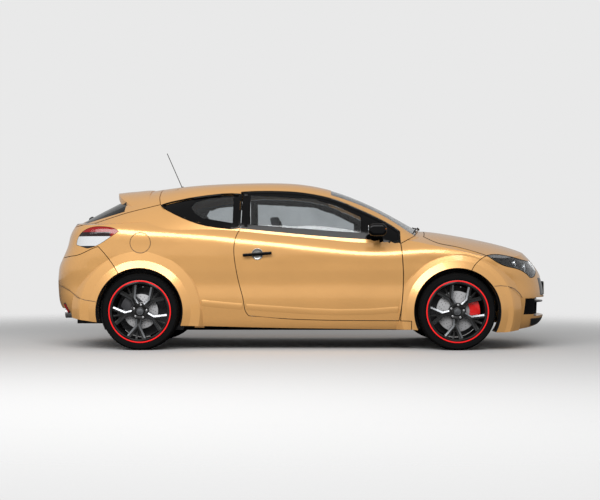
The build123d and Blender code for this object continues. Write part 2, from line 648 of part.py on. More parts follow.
def bar(start, end, wide_start, wide_end, low, high):
    """A tapering bar of a wheel's face between two (x, z) points, from y = low to y = high."""
    (x0, z0), (x1, z1) = start, end
    length = math.hypot(x1 - x0, z1 - z0)
    across = ((z0 - z1) / length, (x1 - x0) / length)
    corners = [(x0 + s * w / 2 * across[0], z0 + s * w / 2 * across[1])
               for s, w in ((1, wide_start), (-1, wide_start))]
    corners += [(x1 + s * w / 2 * across[0], z1 + s * w / 2 * across[1])
                for s, w in ((-1, wide_end), (1, wide_end))]
    face = Face(Wire.make_polygon([Vector(x, low, z) for x, z in corners]))
    return Solid.extrude(face, Vector(0, high - low, 0))


def spoke_group(turn):
    """One forked spoke of a left wheel, its middle at an angle from straight ahead."""
    def at(radius, aside):
        angle = math.radians(turn + aside)
        return (radius * math.cos(angle), radius * math.sin(angle))

    stem = bar(at(40, 0), at(132, 0), 58, 40, 68, 96)
    arms = [bar(at(112, 0), at(230, side * FORK_ANGLE), 30, 34, 68, 98) for side in (-1, 1)]
    rib = bar(at(120, 0), at(230, 0), 12, 16, 68, 84)
    return joined([stem, *arms, rib])


FORK_ANGLE = 17.0
FIRST_SPOKE = 46.0


def rim(side):
    """A wheel rim about its own centre: barrel, flanges, hub and five forked spokes."""
    barrel = [(228, -118), (261, -118), (261, -112.5), (241.9, -105), (241.9, 105), (261, 112.5),
              (261, 118), (232, 118), (226, 90), (226, -90)]
    hub = rod((0, 62, 0), (0, 96, 0), 74) - rod((0, 88, 0), (0, 100, 0), 62)
    cap = rod((0, 62, 0), (0, 98, 0), 32)
    groups = [spoke_group(FIRST_SPOKE + 72 * i) for i in range(5)]
    shape = turned(barrel, (0, 0, 0)).fuse(hub, cap, *groups)
    return shape if side > 0 else mirrored(shape)


def disc(radius, side, bore):
    """A brake disc with its hub, about the wheel centre."""
    shape = rod((0, 25, 0), (0, 53, 0), radius).fuse(rod((0, 0, 0), (0, 61.5, 0), 72))
    if bore:
        shape = shape - rod((0, -10, 0), (0, 45, 0), 30.05)
    else:
        shape = shape + rod((0, -60, 0), (0, 10, 0), 30)
    return shape if side > 0 else mirrored(shape)


def caliper(radius, angle):
    """A caliper straddling a disc of this radius, at an angle from straight ahead."""
    outer = turned([(radius - 62, 2), (radius + 24, 2), (radius + 24, 63), (radius - 62, 63)], (0, 0, 0))
    slot = turned([(radius - 80, 21), (radius + 6, 21), (radius + 6, 57), (radius - 80, 57)], (0, 0, 0))
    wedge = block((0, 0, -75), (300, 100, 75))
    shape = (outer - slot) & wedge
    return shape.rotate(Axis.Y, -angle)


def knuckle():
    """Left front upright with caliper, strut seat and steering arm, about the wheel centre."""
    ring = rod((0, -62, 0), (0, -8, 0), 62)
    top = block((-24, -70, 0), (24, -20, 130))
    foot = block((-24, -70, -92), (24, -20, 0))
    arm = block((-130, -70, -14), (0, -44, 14))
    bridge = block((20, -30, -30), (110, -8, 30)).fuse(block((95, -30, -40), (150, 6, 40)))
    shape = ring.fuse(top, foot, arm, bridge, caliper(170, 12))
    return shape - rod((0, -80, 0), (0, 0, 0), 30.05)


def build_wheels():
    """Wheels, discs, uprights and the rear axle."""
    pieces = {}
    axles = (("front", FRONT_AXLE, FRONT_TRACK, 170), ("rear", REAR_AXLE, REAR_TRACK, 145))
    for end, x, track, radius in axles:
        for name, side in (("left", 1), ("right", -1)):
            y = side * track / 2
            at = Pos(x, y, AXLE_HEIGHT)
            pieces[f"tyre_{end}_{name}"] = tyre(x, y)
            pieces[f"rim_{end}_{name}"] = at * rim(side)
            pieces[f"disc_{end}_{name}"] = at * disc(radius, side, end == "rear")
    upright = Pos(FRONT_AXLE, FRONT_TRACK / 2, AXLE_HEIGHT) * knuckle()
    pieces["knuckle_left"] = upright
    pieces["knuckle_right"] = mirrored(upright)
    stub_y = REAR_TRACK / 2
    hub_end = rod((REAR_AXLE, stub_y - 90, AXLE_HEIGHT), (REAR_AXLE, stub_y + 40, AXLE_HEIGHT), 30)
    carrier = block((REAR_AXLE - 50, stub_y - 120, 270), (REAR_AXLE + 50, stub_y - 60, 375))
    trailing = block((REAR_AXLE, 560, 290), (-1010, 640, 340))
    link = block((REAR_AXLE - 30, 600, 290), (REAR_AXLE + 30, stub_y - 70, 350))
    beam = block((-1180, 0, 285), (-1090, 600, 345))
    brake = Pos(REAR_AXLE, stub_y, AXLE_HEIGHT) * caliper(145, 140)
    brace = Pos(REAR_AXLE, stub_y, AXLE_HEIGHT) * (block((-110, -80, 60), (-20, -60, 110)).fuse(
        block((-125, -80, 70), (-70, 8, 110)), block((-60, -80, 0), (20, -60, 100))))
    half = joined([hub_end, carrier, trailing, link, beam, brace])
    half = half + brake
    pieces["rear_axle"] = both_halves(half)
    return pieces


# ---------------------------------------------------------------- under the body
def build_underbody():
    """Front subframe with arms and struts, powertrain block and exhaust."""
    pieces = {}
    cradle = block((1120, 0, 175), (1440, 440, 225))
    arm = block((1240, 380, 185), (1335, 560, 210)).fuse(block((1255, 380, 185), (1320, 752, 210)))
    ball = rod((FRONT_AXLE, 745, 205), (FRONT_AXLE, 745, 222), 14)
    post = block((1170, 398, 220), (1230, 440, 399.8))
    left = joined([cradle, arm, ball, post])
    pieces["front_subframe"] = both_halves(left)
    pieces["powertrain"] = block((1090, -330, 262), (1560, 330, 800)).fuse(
        block((1250, -345, 270), (1480, 345, 380)))
    pipe = rod((1080, 60, 150), (-1700, 60, 150), 30)
    box = block((-2010, -168, 190), (-1760, 168, 330))
    pipe = pipe.fuse(rod((-1660, 60, 150), (-1800, 0, 240), 30))
    tips = rod((-1950, 0, 280), (-2120, 0, 280), 46)
    pieces["exhaust"] = joined([pipe, box, tips])
    return pieces


# ---------------------------------------------------------------- cabin
STEERING_CENTRE = (430, 370, 830)
STEERING_AXIS = (-0.9063, 0, 0.4226)


def padded(region, low, high, softness):
    """A side-view outline as a cushion between two widths, with softened edges."""
    shape = side_prism(region, low, high)
    return shape.fillet(softness, shape.edges())


def seat(y):
    """One front seat: cushion with side bolsters, back, head rest and base."""
    cushion = polygon([(-80, 300), (400, 300), (430, 380), (410, 440), (-60, 405)])
    bolster = polygon([(-60, 330), (380, 330), (350, 452), (-40, 440)])
    back = polygon([(-110, 395), (-10, 400), (-150, 985), (-235, 990), (-190, 560)])
    wing = polygon([(-100, 470), (25, 480), (-105, 900), (-165, 900)])
    rest = polygon([(-258, 1000), (-178, 985), (-205, 1125), (-280, 1120)])
    base = block((-60, y - 200, 229), (380, y + 200, 320))
    post = block((-222, y - 60, 960), (-202, y + 60, 1030))
    parts = [padded(cushion, y - 205, y + 205, 16), padded(back, y - 195, y + 195, 16),
             padded(rest, y - 125, y + 125, 14), base, post]
    for inner, outer in ((y - 245, y - 180), (y + 180, y + 245)):
        parts += [padded(bolster, inner, outer, 14), padded(wing, inner, outer, 14)]
    return joined(parts)


def build_cabin():
    """Seats, dashboard and steering wheel."""
    pieces = {}
    pieces["front_seats"] = Compound([*seat(370).solids(), *seat(-370).solids()])
    cushion = polygon([(-960, 300), (-540, 300), (-520, 400), (-560, 452), (-960, 440)])
    back = polygon([(-1110, 454), (-950, 454), (-1020, 940), (-1080, 1000), (-1150, 990)])
    feet = block((-940, -540, 229), (-560, 540, 320))
    hinge = block((-975, -520, 350), (-955, 520, 485))
    bench = [padded(cushion, -560, 560, 18), padded(back, -560, 560, 18), feet, hinge]
    pieces["rear_bench"] = joined(bench)
    top = polygon([(950, 835), (900, 875), (660, 868), (625, 810), (650, 640), (950, 600)])
    tunnel = polygon([(-60, 229), (760, 229), (700, 700), (620, 700), (560, 520), (-60, 480)])
    pieces["dashboard"] = padded(top, -670, 670, 14).fuse(side_prism(tunnel, -90, 90))
    hub = Cylinder(55, 36)
    spokes = Box(340, 34, 20) + Pos(0, -90, 0) * Box(40, 170, 16)
    column = Pos(0, 0, -120) * Cylinder(24, 170)
    turn = Plane(origin=STEERING_CENTRE, z_dir=STEERING_AXIS)
    pieces["steering_wheel"] = turn * (Torus(175, 15) + hub + spokes + column)
    return pieces


# ---------------------------------------------------------------- trim
def mirror_left():
    """Left door mirror: a rounded head on a short arm from the door's skin."""
    head = Pos(622, 950, 997) * Box(150, 150, 100)
    head = fillet(head.edges().filter_by(Axis.Y), 42)
    head = fillet(head.faces().sort_by(Axis.Y)[-1].edges(), 24)
    arm = block((600, 800, 940), (660, 900, 965))
    return head.solid() + arm


def screen_point(x, y, lift):
    """A point above the windscreen's surface."""
    top, crown = roof_z(x), roof_crown(x)
    share = y / belt_y(x)
    rise = top - belt_z(x) - crown
    return (x, y, top - crown * share * share - rise * abs(share) ** roof_roundness(x) + lift)


def deck_point(x, y, lift):
    """A point above the surface of the deck."""
    return (x, y, deck_z(x) - deck_drop(x) * (abs(y) / 800) ** 2.4 + lift)


def wiper(pivot, middle, tip, blade_ends):
    """One wiper parked on the windscreen: pivot post, arm in two runs and a blade."""
    points = [deck_point(*pivot, 17), screen_point(*middle, 26), screen_point(*tip, 15)]
    post = rod(deck_point(*pivot, 4.5), deck_point(*pivot, 22), 10)
    arm = [rod(a, b, 6) for a, b in zip(points, points[1:])]
    ends = [screen_point(*end, 11) for end in blade_ends]
    blade = [rod(a, b, 5.5) for a, b in ((ends[0], points[2]), (points[2], ends[1]))]
    joints = [Pos(*p) * Sphere(7) for p in points]
    return joined([post, *arm, *blade, *joints])


def build_trim():
    """Wipers and aerial."""
    pieces = {}
    left = wiper((1030, 470), (1016, 210), (1004, 60), ((978, 330), (1008, -260)))
    right = wiper((1038, -120), (1012, -330), (985, -450), ((1004, -210), (950, -640)))
    pieces["wipers"] = Compound(left.solids() + right.solids())
    foot = roof_z(AERIAL_FOOT)
    tip = (AERIAL_FOOT - 141, 0, foot + 322)
    base = Pos(AERIAL_FOOT, 0, foot + 0.4) * Rot(0, -6.8, 0) * Pos(0, 0, 11) * Cone(24, 9, 22)
    pieces["aerial"] = joined([base, rod((AERIAL_FOOT - 3, 0, foot + 8), tip, 3.5)])
    return pieces


AERIAL_FOOT = -1088.0


def main():
    """Builds every piece and writes one STEP file for each node."""
    os.makedirs("parts", exist_ok=True)
    pieces = build_wheels() | build_underbody() | build_cabin() | build_trim()
    pieces["mirror_left"] = mirror_left()
    pieces["mirror_right"] = mirrored(pieces["mirror_left"])
    pieces |= build_body()
    for name, shape in pieces.items():
        write(name, shape)


if __name__ == "__main__":
    main()
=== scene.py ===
"""Three-door hot hatchback: finishes, fittings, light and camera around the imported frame."""

import json
import logging
import math
from collections.abc import Callable, Iterable
from dataclasses import dataclass, field
from enum import Enum
from functools import cache

import bmesh
import bpy
from mathutils import Matrix, Vector
from mathutils.bvhtree import BVHTree
from mathutils.interpolate import poly_3d_calc


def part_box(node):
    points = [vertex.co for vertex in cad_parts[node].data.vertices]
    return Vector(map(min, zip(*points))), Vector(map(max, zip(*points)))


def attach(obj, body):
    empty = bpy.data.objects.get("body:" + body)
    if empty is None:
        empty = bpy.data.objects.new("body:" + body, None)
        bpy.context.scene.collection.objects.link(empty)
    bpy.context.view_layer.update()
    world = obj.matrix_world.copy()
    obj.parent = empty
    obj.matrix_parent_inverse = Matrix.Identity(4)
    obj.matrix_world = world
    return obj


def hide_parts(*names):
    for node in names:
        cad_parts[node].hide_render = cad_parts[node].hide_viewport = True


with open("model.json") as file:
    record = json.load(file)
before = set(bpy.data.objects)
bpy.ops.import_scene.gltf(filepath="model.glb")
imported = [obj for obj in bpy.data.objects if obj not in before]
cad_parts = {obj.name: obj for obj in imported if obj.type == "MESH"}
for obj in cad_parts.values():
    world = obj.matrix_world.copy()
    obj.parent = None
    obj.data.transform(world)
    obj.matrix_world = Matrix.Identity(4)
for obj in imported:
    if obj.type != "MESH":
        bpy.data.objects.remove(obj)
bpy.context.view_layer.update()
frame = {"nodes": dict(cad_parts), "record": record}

LOG = logging.getLogger("hatchback")

Colour = tuple[float, float, float, float]
Point = tuple[float, float, float]
Outline = list[tuple[float, float]]

CAD_MERGE = 0.00005
SPIN_MERGE = 0.00002
NEAR_SURFACE = 0.0002
FIFTH_TURN = 72


def srgb(red: int, green: int, blue: int) -> Colour:
    """Turns an eight-bit display colour into the linear colour that a shader takes.

    Args:
        red: Red, 0 to 255.
        green: Green, 0 to 255.
        blue: Blue, 0 to 255.

    Returns:
        The linear colour, with full alpha.
    """
    def linear(value: int) -> float:
        """Returns one channel as linear light."""
        share = value / 255
        return share / 12.92 if share <= 0.04045 else ((share + 0.055) / 1.055) ** 2.4

    return (linear(red), linear(green), linear(blue), 1.0)


def shade_of(colour: Colour, factor: float) -> Colour:
    """Returns the colour made darker or lighter by a factor."""
    return (*(min(1.0, channel * factor) for channel in colour[:3]), 1.0)


class Side(Enum):
    """The two sides of the car, as the sign of Y."""

    LEFT = 1
    RIGHT = -1

    @property
    def word(self) -> str:
        """Returns the side's name in lower case, as node names have it."""
        return self.name.lower()


class Grain(Enum):
    """How a finish varies over the surface."""

    FLAKE = "flake"
    MOULDED = "moulded"
    BRUSHED = "brushed"
    WEAVE = "weave"
    CAST = "cast"
    SMOOTH = "smooth"


# ---------------------------------------------------------------- finishes
class NodeSheet:
    """A short hand for laying out a material's nodes."""

    def __init__(self, name: str) -> None:
        """Makes an empty material with its shader.

        Args:
            name: The material's name.
        """
        self.material = bpy.data.materials.new(name)
        self.material.use_nodes = True
        self.tree = self.material.node_tree
        self.shader = self.tree.nodes["Principled BSDF"]

    def add(self, kind: str, **values: object) -> bpy.types.Node:
        """Adds a node and sets its inputs or properties by name.

        Args:
            kind: The node's type.
            **values: Inputs, with underscores for spaces, or properties.

        Returns:
            The node.
        """
        node = self.tree.nodes.new(kind)
        for key, value in values.items():
            socket = node.inputs.get(key.replace("_", " "))
            if socket is not None and not hasattr(node, key):
                socket.default_value = value
            else:
                setattr(node, key, value)
        return node

    def link(self, source: bpy.types.NodeSocket, target: bpy.types.NodeSocket) -> None:
        """Joins two sockets."""
        self.tree.links.new(source, target)

    def place(self, stretch: Point = (1.0, 1.0, 1.0)) -> bpy.types.NodeSocket:
        """Returns the surface's own coordinates, stretched along its axes."""
        mapping = self.add("ShaderNodeMapping")
        mapping.inputs["Scale"].default_value = stretch
        self.link(self.add("ShaderNodeTexCoord").outputs["Object"], mapping.inputs["Vector"])
        return mapping.outputs["Vector"]

    def noise(self, scale: float, detail: float = 2.0,
              stretch: Point = (1.0, 1.0, 1.0)) -> bpy.types.NodeSocket:
        """Returns fine noise over the surface.

        Args:
            scale: Waves per metre, about.
            detail: Octaves.
            stretch: Scale along each axis.

        Returns:
            The noise's factor.
        """
        node = self.add("ShaderNodeTexNoise", Scale=scale, Detail=detail)
        self.link(self.place(stretch), node.inputs["Vector"])
        return node.outputs["Fac"]

    def blend_colours(self, factor: bpy.types.NodeSocket, first: Colour, second: Colour,
                      low: float = 0.35, high: float = 0.65) -> bpy.types.NodeSocket:
        """Returns a colour that runs from first to second as the factor runs from low to high."""
        ramp = self.add("ShaderNodeValToRGB")
        ramp.color_ramp.elements[0].position, ramp.color_ramp.elements[0].color = low, first
        ramp.color_ramp.elements[1].position, ramp.color_ramp.elements[1].color = high, second
        self.link(factor, ramp.inputs["Fac"])
        return ramp.outputs["Color"]

    def span(self, factor: bpy.types.NodeSocket, low: float, high: float) -> bpy.types.NodeSocket:
        """Returns the factor mapped from 0..1 to low..high."""
        node = self.add("ShaderNodeMapRange")
        node.inputs["To Min"].default_value = low
        node.inputs["To Max"].default_value = high
        self.link(factor, node.inputs["Value"])
        return node.outputs["Result"]

    def bump(self, height: bpy.types.NodeSocket, depth: float, strength: float = 0.5) -> None:
        """Puts a bump on the shader.

        Args:
            height: The height pattern.
            depth: Its depth in metres.
            strength: How much of it shows.
        """
        node = self.add("ShaderNodeBump", Strength=strength, Distance=depth)
        self.link(height, node.inputs["Height"])
        self.link(node.outputs["Normal"], self.shader.inputs["Normal"])


@dataclass(frozen=True)
class Finish:
    """One finish of the car: its colour, gloss and grain."""

    name: str
    colour: Colour
    roughness: float = 0.5
    grain: Grain = Grain.SMOOTH
    metallic: float = 0.0
    coat: float = 0.0
    see_through: float = 0.0
    refraction: float = 1.45
    glow: float = 0.0

    def material(self) -> bpy.types.Material:
        """Returns the material, made on first use."""
        found = bpy.data.materials.get(self.name)
        return found if found else self.make()

    def make(self) -> bpy.types.Material:
        """Builds the material's nodes.

        Returns:
            The new material.
        """
        sheet = NodeSheet(self.name)
        shader = sheet.shader
        shader.inputs["Metallic"].default_value = self.metallic
        shader.inputs["Coat Weight"].default_value = self.coat
        shader.inputs["Coat Roughness"].default_value = 0.03
        shader.inputs["Transmission Weight"].default_value = self.see_through
        shader.inputs["IOR"].default_value = self.refraction
        if self.glow:
            shader.inputs["Emission Color"].default_value = self.colour
            shader.inputs["Emission Strength"].default_value = self.glow
        {
            Grain.FLAKE: self.flake, Grain.MOULDED: self.moulded, Grain.BRUSHED: self.brushed,
            Grain.WEAVE: self.weave, Grain.CAST: self.cast, Grain.SMOOTH: self.smooth,
        }[self.grain](sheet)
        return sheet.material

    def tone(self, sheet: NodeSheet, factor: bpy.types.NodeSocket, spread: float) -> None:
        """Varies the colour a little around its mean, by a factor."""
        low, high = shade_of(self.colour, 1 - spread), shade_of(self.colour, 1 + spread)
        sheet.link(sheet.blend_colours(factor, low, high, 0.3, 0.7), sheet.shader.inputs["Base Color"])

    def rough(self, sheet: NodeSheet, factor: bpy.types.NodeSocket, spread: float) -> None:
        """Varies the roughness a little around its mean, by a factor."""
        low, high = max(0.0, self.roughness - spread), min(1.0, self.roughness + spread)
        sheet.link(sheet.span(factor, low, high), sheet.shader.inputs["Roughness"])

    def flake(self, sheet: NodeSheet) -> None:
        """Lacquered paint: fine flakes, a slow drift in tone and a faint ripple in the lacquer.

        Args:
            sheet: The material's node sheet.
        """
        flakes = sheet.add("ShaderNodeTexVoronoi", Scale=1600.0)
        sheet.link(sheet.place(), flakes.inputs["Vector"])
        drift = sheet.noise(3.0, 3.0)
        mixed = sheet.add("ShaderNodeMath", operation="MULTIPLY_ADD")
        mixed.inputs[1].default_value, mixed.inputs[2].default_value = 0.45, 0.25
        sheet.link(flakes.outputs["Distance"], mixed.inputs[0])
        summed = sheet.add("ShaderNodeMath", operation="MULTIPLY_ADD")
        summed.inputs[1].default_value = 0.35
        sheet.link(drift, summed.inputs[0])
        sheet.link(mixed.outputs[0], summed.inputs[2])
        self.tone(sheet, summed.outputs[0], 0.09)
        self.rough(sheet, drift, 0.05)
        sheet.bump(sheet.noise(260.0, 1.0), 0.0002, 0.05)

    def moulded(self, sheet: NodeSheet) -> None:
        """Grained plastic or rubber: a leathery bump and small changes in gloss."""
        cells = sheet.add("ShaderNodeTexVoronoi", Scale=420.0)
        sheet.link(sheet.place(), cells.inputs["Vector"])
        self.tone(sheet, sheet.noise(14.0, 4.0), 0.18)
        self.rough(sheet, sheet.noise(60.0, 3.0), 0.07)
        sheet.bump(cells.outputs["Distance"], 0.0008, 0.25)

    def brushed(self, sheet: NodeSheet) -> None:
        """Worked metal: fine lines that run lengthways."""
        lines = sheet.noise(500.0, 4.0, (0.06, 1.0, 1.0))
        self.tone(sheet, lines, 0.14)
        self.rough(sheet, sheet.noise(40.0, 4.0), 0.1)
        sheet.bump(lines, 0.0003, 0.2)

    def weave(self, sheet: NodeSheet) -> None:
        """Seat cloth: two crossing sets of threads with some fuzz.

        Args:
            sheet: The material's node sheet.
        """
        waves = []
        for direction in ("X", "Z"):
            wave = sheet.add("ShaderNodeTexWave", wave_type="BANDS", Scale=110.0, Distortion=0.6)
            wave.bands_direction = direction
            sheet.link(sheet.place(), wave.inputs["Vector"])
            waves.append(wave.outputs["Fac"])
        crossed = sheet.add("ShaderNodeMath", operation="MULTIPLY")
        sheet.link(waves[0], crossed.inputs[0])
        sheet.link(waves[1], crossed.inputs[1])
        self.tone(sheet, crossed.outputs[0], 0.3)
        self.rough(sheet, sheet.noise(30.0, 3.0), 0.05)
        sheet.shader.inputs["Sheen Weight"].default_value = 0.3
        sheet.bump(crossed.outputs[0], 0.0015, 0.5)

    def cast(self, sheet: NodeSheet) -> None:
        """Cast or painted metal: a coarse skin and a tone that drifts at random."""
        skin = sheet.noise(180.0, 6.0)
        self.tone(sheet, sheet.noise(22.0, 5.0), 0.3)
        self.rough(sheet, skin, 0.12)
        sheet.bump(skin, 0.0012, 0.3)

    def smooth(self, sheet: NodeSheet) -> None:
        """Polished or glazed: only the slightest unevenness in tone and gloss."""
        haze = sheet.noise(5.0, 3.0)
        self.tone(sheet, haze, 0.05)
        self.rough(sheet, haze, 0.015)


PAINT = Finish("sand_yellow_paint", srgb(222, 168, 103), 0.25, Grain.FLAKE, 0.42, 0.55)
GLASS = Finish("tinted_glass", srgb(204, 208, 210), 0.02, see_through=1.0)
DARK_GLASS = Finish("privacy_glass", srgb(66, 69, 72), 0.03, see_through=0.8)
GLOSS_BLACK = Finish("gloss_black", srgb(7, 7, 8), 0.08, refraction=1.28)
BLACK = Finish("grained_black", srgb(26, 26, 27), 0.5, Grain.MOULDED)
RUBBER = Finish("tyre_rubber", srgb(10, 10, 11), 0.8, Grain.MOULDED, refraction=1.22)
ALLOY = Finish("black_alloy", srgb(17, 17, 18), 0.28, Grain.CAST, 0.35, 0.5)
CUT_ALLOY = Finish("polished_alloy", srgb(138, 140, 143), 0.28, Grain.BRUSHED, 1.0)
IRON = Finish("disc_iron", srgb(52, 53, 56), 0.34, Grain.BRUSHED, 1.0)
RED_ENAMEL = Finish("red_enamel", srgb(214, 14, 12), 0.25, Grain.SMOOTH, 0.0, 0.7)
# The rim's red ring gets a faint glow though it is no lamp: painted glow.
GLOWING_RED_RING = Finish("red_ring", srgb(238, 12, 14), 0.3, Grain.SMOOTH, coat=0.4, glow=0.12)
SILVER = Finish("satin_silver", srgb(168, 168, 166), 0.32, Grain.BRUSHED, 0.85)
# The muffler is dark steel, made darker still as painted shade for the dark under the car.
MUFFLER = Finish("dark_steel", srgb(58, 57, 56), 0.45, Grain.CAST, 0.9)
CHASSIS = Finish("chassis_black", srgb(20, 20, 21), 0.66, Grain.CAST, 0.1)
ENGINE = Finish("engine_alloy", srgb(120, 122, 124), 0.45, Grain.CAST, 0.7)
STEEL = Finish("exhaust_steel", srgb(168, 166, 162), 0.25, Grain.BRUSHED, 1.0)
CLOTH = Finish("seat_cloth", srgb(38, 38, 41), 0.9, Grain.WEAVE)
LINING = Finish("roof_lining", srgb(120, 119, 116), 0.95, Grain.WEAVE)
CABIN = Finish("cabin_plastic", srgb(33, 34, 36), 0.6, Grain.MOULDED)
HOUSING = Finish("lamp_housing", srgb(30, 31, 33), 0.3, Grain.BRUSHED, 0.6)
LENS = Finish("clear_lens", srgb(240, 242, 244), 0.02, see_through=1.0)
# The red reflectors glow faintly though they are no lamps: painted glow.
GLOWING_RED_LENS = Finish("red_lens", srgb(178, 14, 16), 0.06, see_through=0.25, glow=0.02)
AMBER_LENS = Finish("amber_lens", srgb(226, 120, 20), 0.08, see_through=0.3)
MIRROR = Finish("mirror_silver", srgb(225, 228, 230), 0.03, Grain.SMOOTH, 1.0)
PLATE = Finish("plate_white", srgb(214, 214, 208), 0.35)

BODY_OF_NODE = {
    node: body for body, nodes in frame["record"]["behaviour"]["bodies"].items() for node in nodes
}


# ---------------------------------------------------------------- bench work
def only(piece: bpy.types.Object) -> bpy.types.Object:
    """Selects one object alone, makes it active and returns it."""
    bpy.ops.object.select_all(action="DESELECT")
    piece.select_set(True)
    bpy.context.view_layer.objects.active = piece
    return piece


def new_piece(name: str) -> bpy.types.Object:
    """Names the object that an operator has just added, selects it alone and returns it."""
    piece = bpy.context.object
    piece.name = name
    piece.data.name = name
    return only(piece)


def primitive(name: str, add: Callable[..., object], **settings: object) -> bpy.types.Object:
    """Adds a primitive with nothing else selected.

    Args:
        name: The new piece's name.
        add: The operator that adds it.
        **settings: The operator's settings.

    Returns:
        The new piece, named.
    """
    bpy.ops.object.select_all(action="DESELECT")
    add(**settings)
    return new_piece(name)


def whole() -> None:
    """Selects the whole mesh in edit mode."""
    bpy.ops.mesh.select_all(action="SELECT")


def smooth_within(piece: bpy.types.Object, angle: float) -> bpy.types.Object:
    """Shades a piece smooth between edges sharper than an angle in degrees, and returns it."""
    only(piece)
    bpy.ops.object.shade_smooth_by_angle(angle=math.radians(angle))
    return piece


def box_of(node: str) -> tuple[Vector, Vector]:
    """Returns the low and the high corner of a CAD node's box."""
    low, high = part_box(node)
    return Vector(low), Vector(high)


def upright(ahead: int) -> Matrix:
    """Returns the turn that stands a piece drawn flat on XY across the car, facing ahead or back."""
    return Matrix((Vector((0, ahead, 0)), Vector((0, 0, 1)), Vector((ahead, 0, 0)))).transposed().to_4x4()


def apply_all(piece: bpy.types.Object) -> None:
    """Applies the piece's modifiers and its place, turn and scale."""
    only(piece)
    for modifier in list(piece.modifiers):
        bpy.ops.object.modifier_apply(modifier=modifier.name)
    bpy.ops.object.transform_apply(location=True, rotation=True, scale=True)


def soften(piece: bpy.types.Object, width: float, segments: int = 2, angle: float = 30.0) -> None:
    """Bevels the piece's hard edges and shades it smooth between them.

    Args:
        piece: The piece.
        width: The bevel's width in metres, or 0 for none.
        segments: Steps across the bevel.
        angle: Edges sharper than this, in degrees, count as hard.
    """
    if width:
        bevel = piece.modifiers.new("edge", "BEVEL")
        bevel.width, bevel.segments = width, segments
        bevel.limit_method, bevel.angle_limit = "ANGLE", math.radians(angle)
        bevel.use_clamp_overlap = True
    apply_all(piece)
    smooth_within(piece, angle)


def thicken(piece: bpy.types.Object, thickness: float, offset: float, angle: float) -> None:
    """Gives a sheet its thickness and shades it smooth between its hard edges.

    Args:
        piece: The sheet.
        thickness: Its thickness.
        offset: 1 to grow outwards, -1 inwards, 0 both ways.
        angle: Edges sharper than this, in degrees, stay hard.
    """
    thick = piece.modifiers.new("thick", "SOLIDIFY")
    thick.thickness, thick.offset = thickness, offset
    apply_all(piece)
    smooth_within(piece, angle)


def spin_closed(piece: bpy.types.Object, steps: int, centre: Iterable[float], axis: Point) -> None:
    """Turns a closed outline about an axis into a closed shape with its faces outwards.

    Args:
        piece: The outline.
        steps: Steps round the circle.
        centre: A place on the axis.
        axis: The axis's direction.
    """
    edit(piece, whole, lambda: bpy.ops.mesh.spin(steps=steps, angle=math.tau, center=centre, axis=axis),
         whole, lambda: bpy.ops.mesh.remove_doubles(threshold=SPIN_MERGE),
         lambda: bpy.ops.mesh.normals_make_consistent(inside=False))


def settle(piece: bpy.types.Object, body: str, finish: Finish,
           stands_for: Iterable[str] = ()) -> bpy.types.Object:
    """Gives a finished piece its material and the body that it rides on.

    Args:
        piece: The piece, already in place.
        body: The body's name.
        finish: Its finish.
        stands_for: CAD nodes that the piece replaces.

    Returns:
        The piece.
    """
    if not piece.data.materials:
        piece.data.materials.append(finish.material())
    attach(piece, body)
    stands_for = list(stands_for)
    if stands_for:
        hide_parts(*stands_for)
    LOG.info("%s rides on %s, %d faces", piece.name, body, len(piece.data.polygons))
    return piece


def join(pieces: list[bpy.types.Object], name: str) -> bpy.types.Object:
    """Joins several pieces into one under a name and returns it."""
    bpy.ops.object.select_all(action="DESELECT")
    for piece in pieces:
        piece.select_set(True)
    bpy.context.view_layer.objects.active = pieces[0]
    if len(pieces) > 1:
        bpy.ops.object.join()
    return new_piece(name)


def duplicate(piece: bpy.types.Object, name: str) -> bpy.types.Object:
    """Copies a piece with its own mesh.

    Args:
        piece: The piece.
        name: The copy's name.

    Returns:
        The copy, which rides on nothing yet.
    """
    copy = piece.copy()
    copy.data = piece.data.copy()
    for key in list(copy.keys()):
        if key.startswith("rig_"):
            del copy[key]
    copy.parent = None
    copy.name = name
    copy.data.name = name
    bpy.context.scene.collection.objects.link(copy)
    return only(copy)


def pick_faces(piece: bpy.types.Object, test: Callable[[bpy.types.MeshPolygon], bool]) -> None:
    """Selects the faces that pass a test, in object mode, and no others."""
    mesh = piece.data
    for part in (mesh.vertices, mesh.edges):
        part.foreach_set("select", [False] * len(part))
    for face in mesh.polygons:
        face.select = test(face)


def edit(piece: bpy.types.Object, *steps: Callable[[], object]) -> None:
    """Runs operators on a piece in edit mode, on what is selected.

    Args:
        piece: The piece.
        *steps: Calls to run one after another.
    """
    only(piece)
    bpy.ops.object.mode_set(mode="EDIT")
    bpy.ops.mesh.select_mode(type="FACE")
    for step in steps:
        step()
    bpy.ops.object.mode_set(mode="OBJECT")


def paint_faces(piece: bpy.types.Object, finish: Finish,
                test: Callable[[bpy.types.MeshPolygon], bool]) -> None:
    """Gives a second finish to the faces of a piece that pass a test.

    Args:
        piece: The piece.
        finish: The finish for those faces.
        test: Says whether a face takes it.
    """
    piece.data.materials.append(finish.material())
    index = len(piece.data.materials) - 1
    for face in piece.data.polygons:
        if test(face):
            face.material_index = index


@cache
def surface_tree(node: str) -> BVHTree:
    """Returns a search tree over a CAD node's faces."""
    source = frame["nodes"][node]
    points = [source.matrix_world @ vertex.co for vertex in source.data.vertices]
    return BVHTree.FromPolygons(points, [tuple(face.vertices) for face in source.data.polygons])


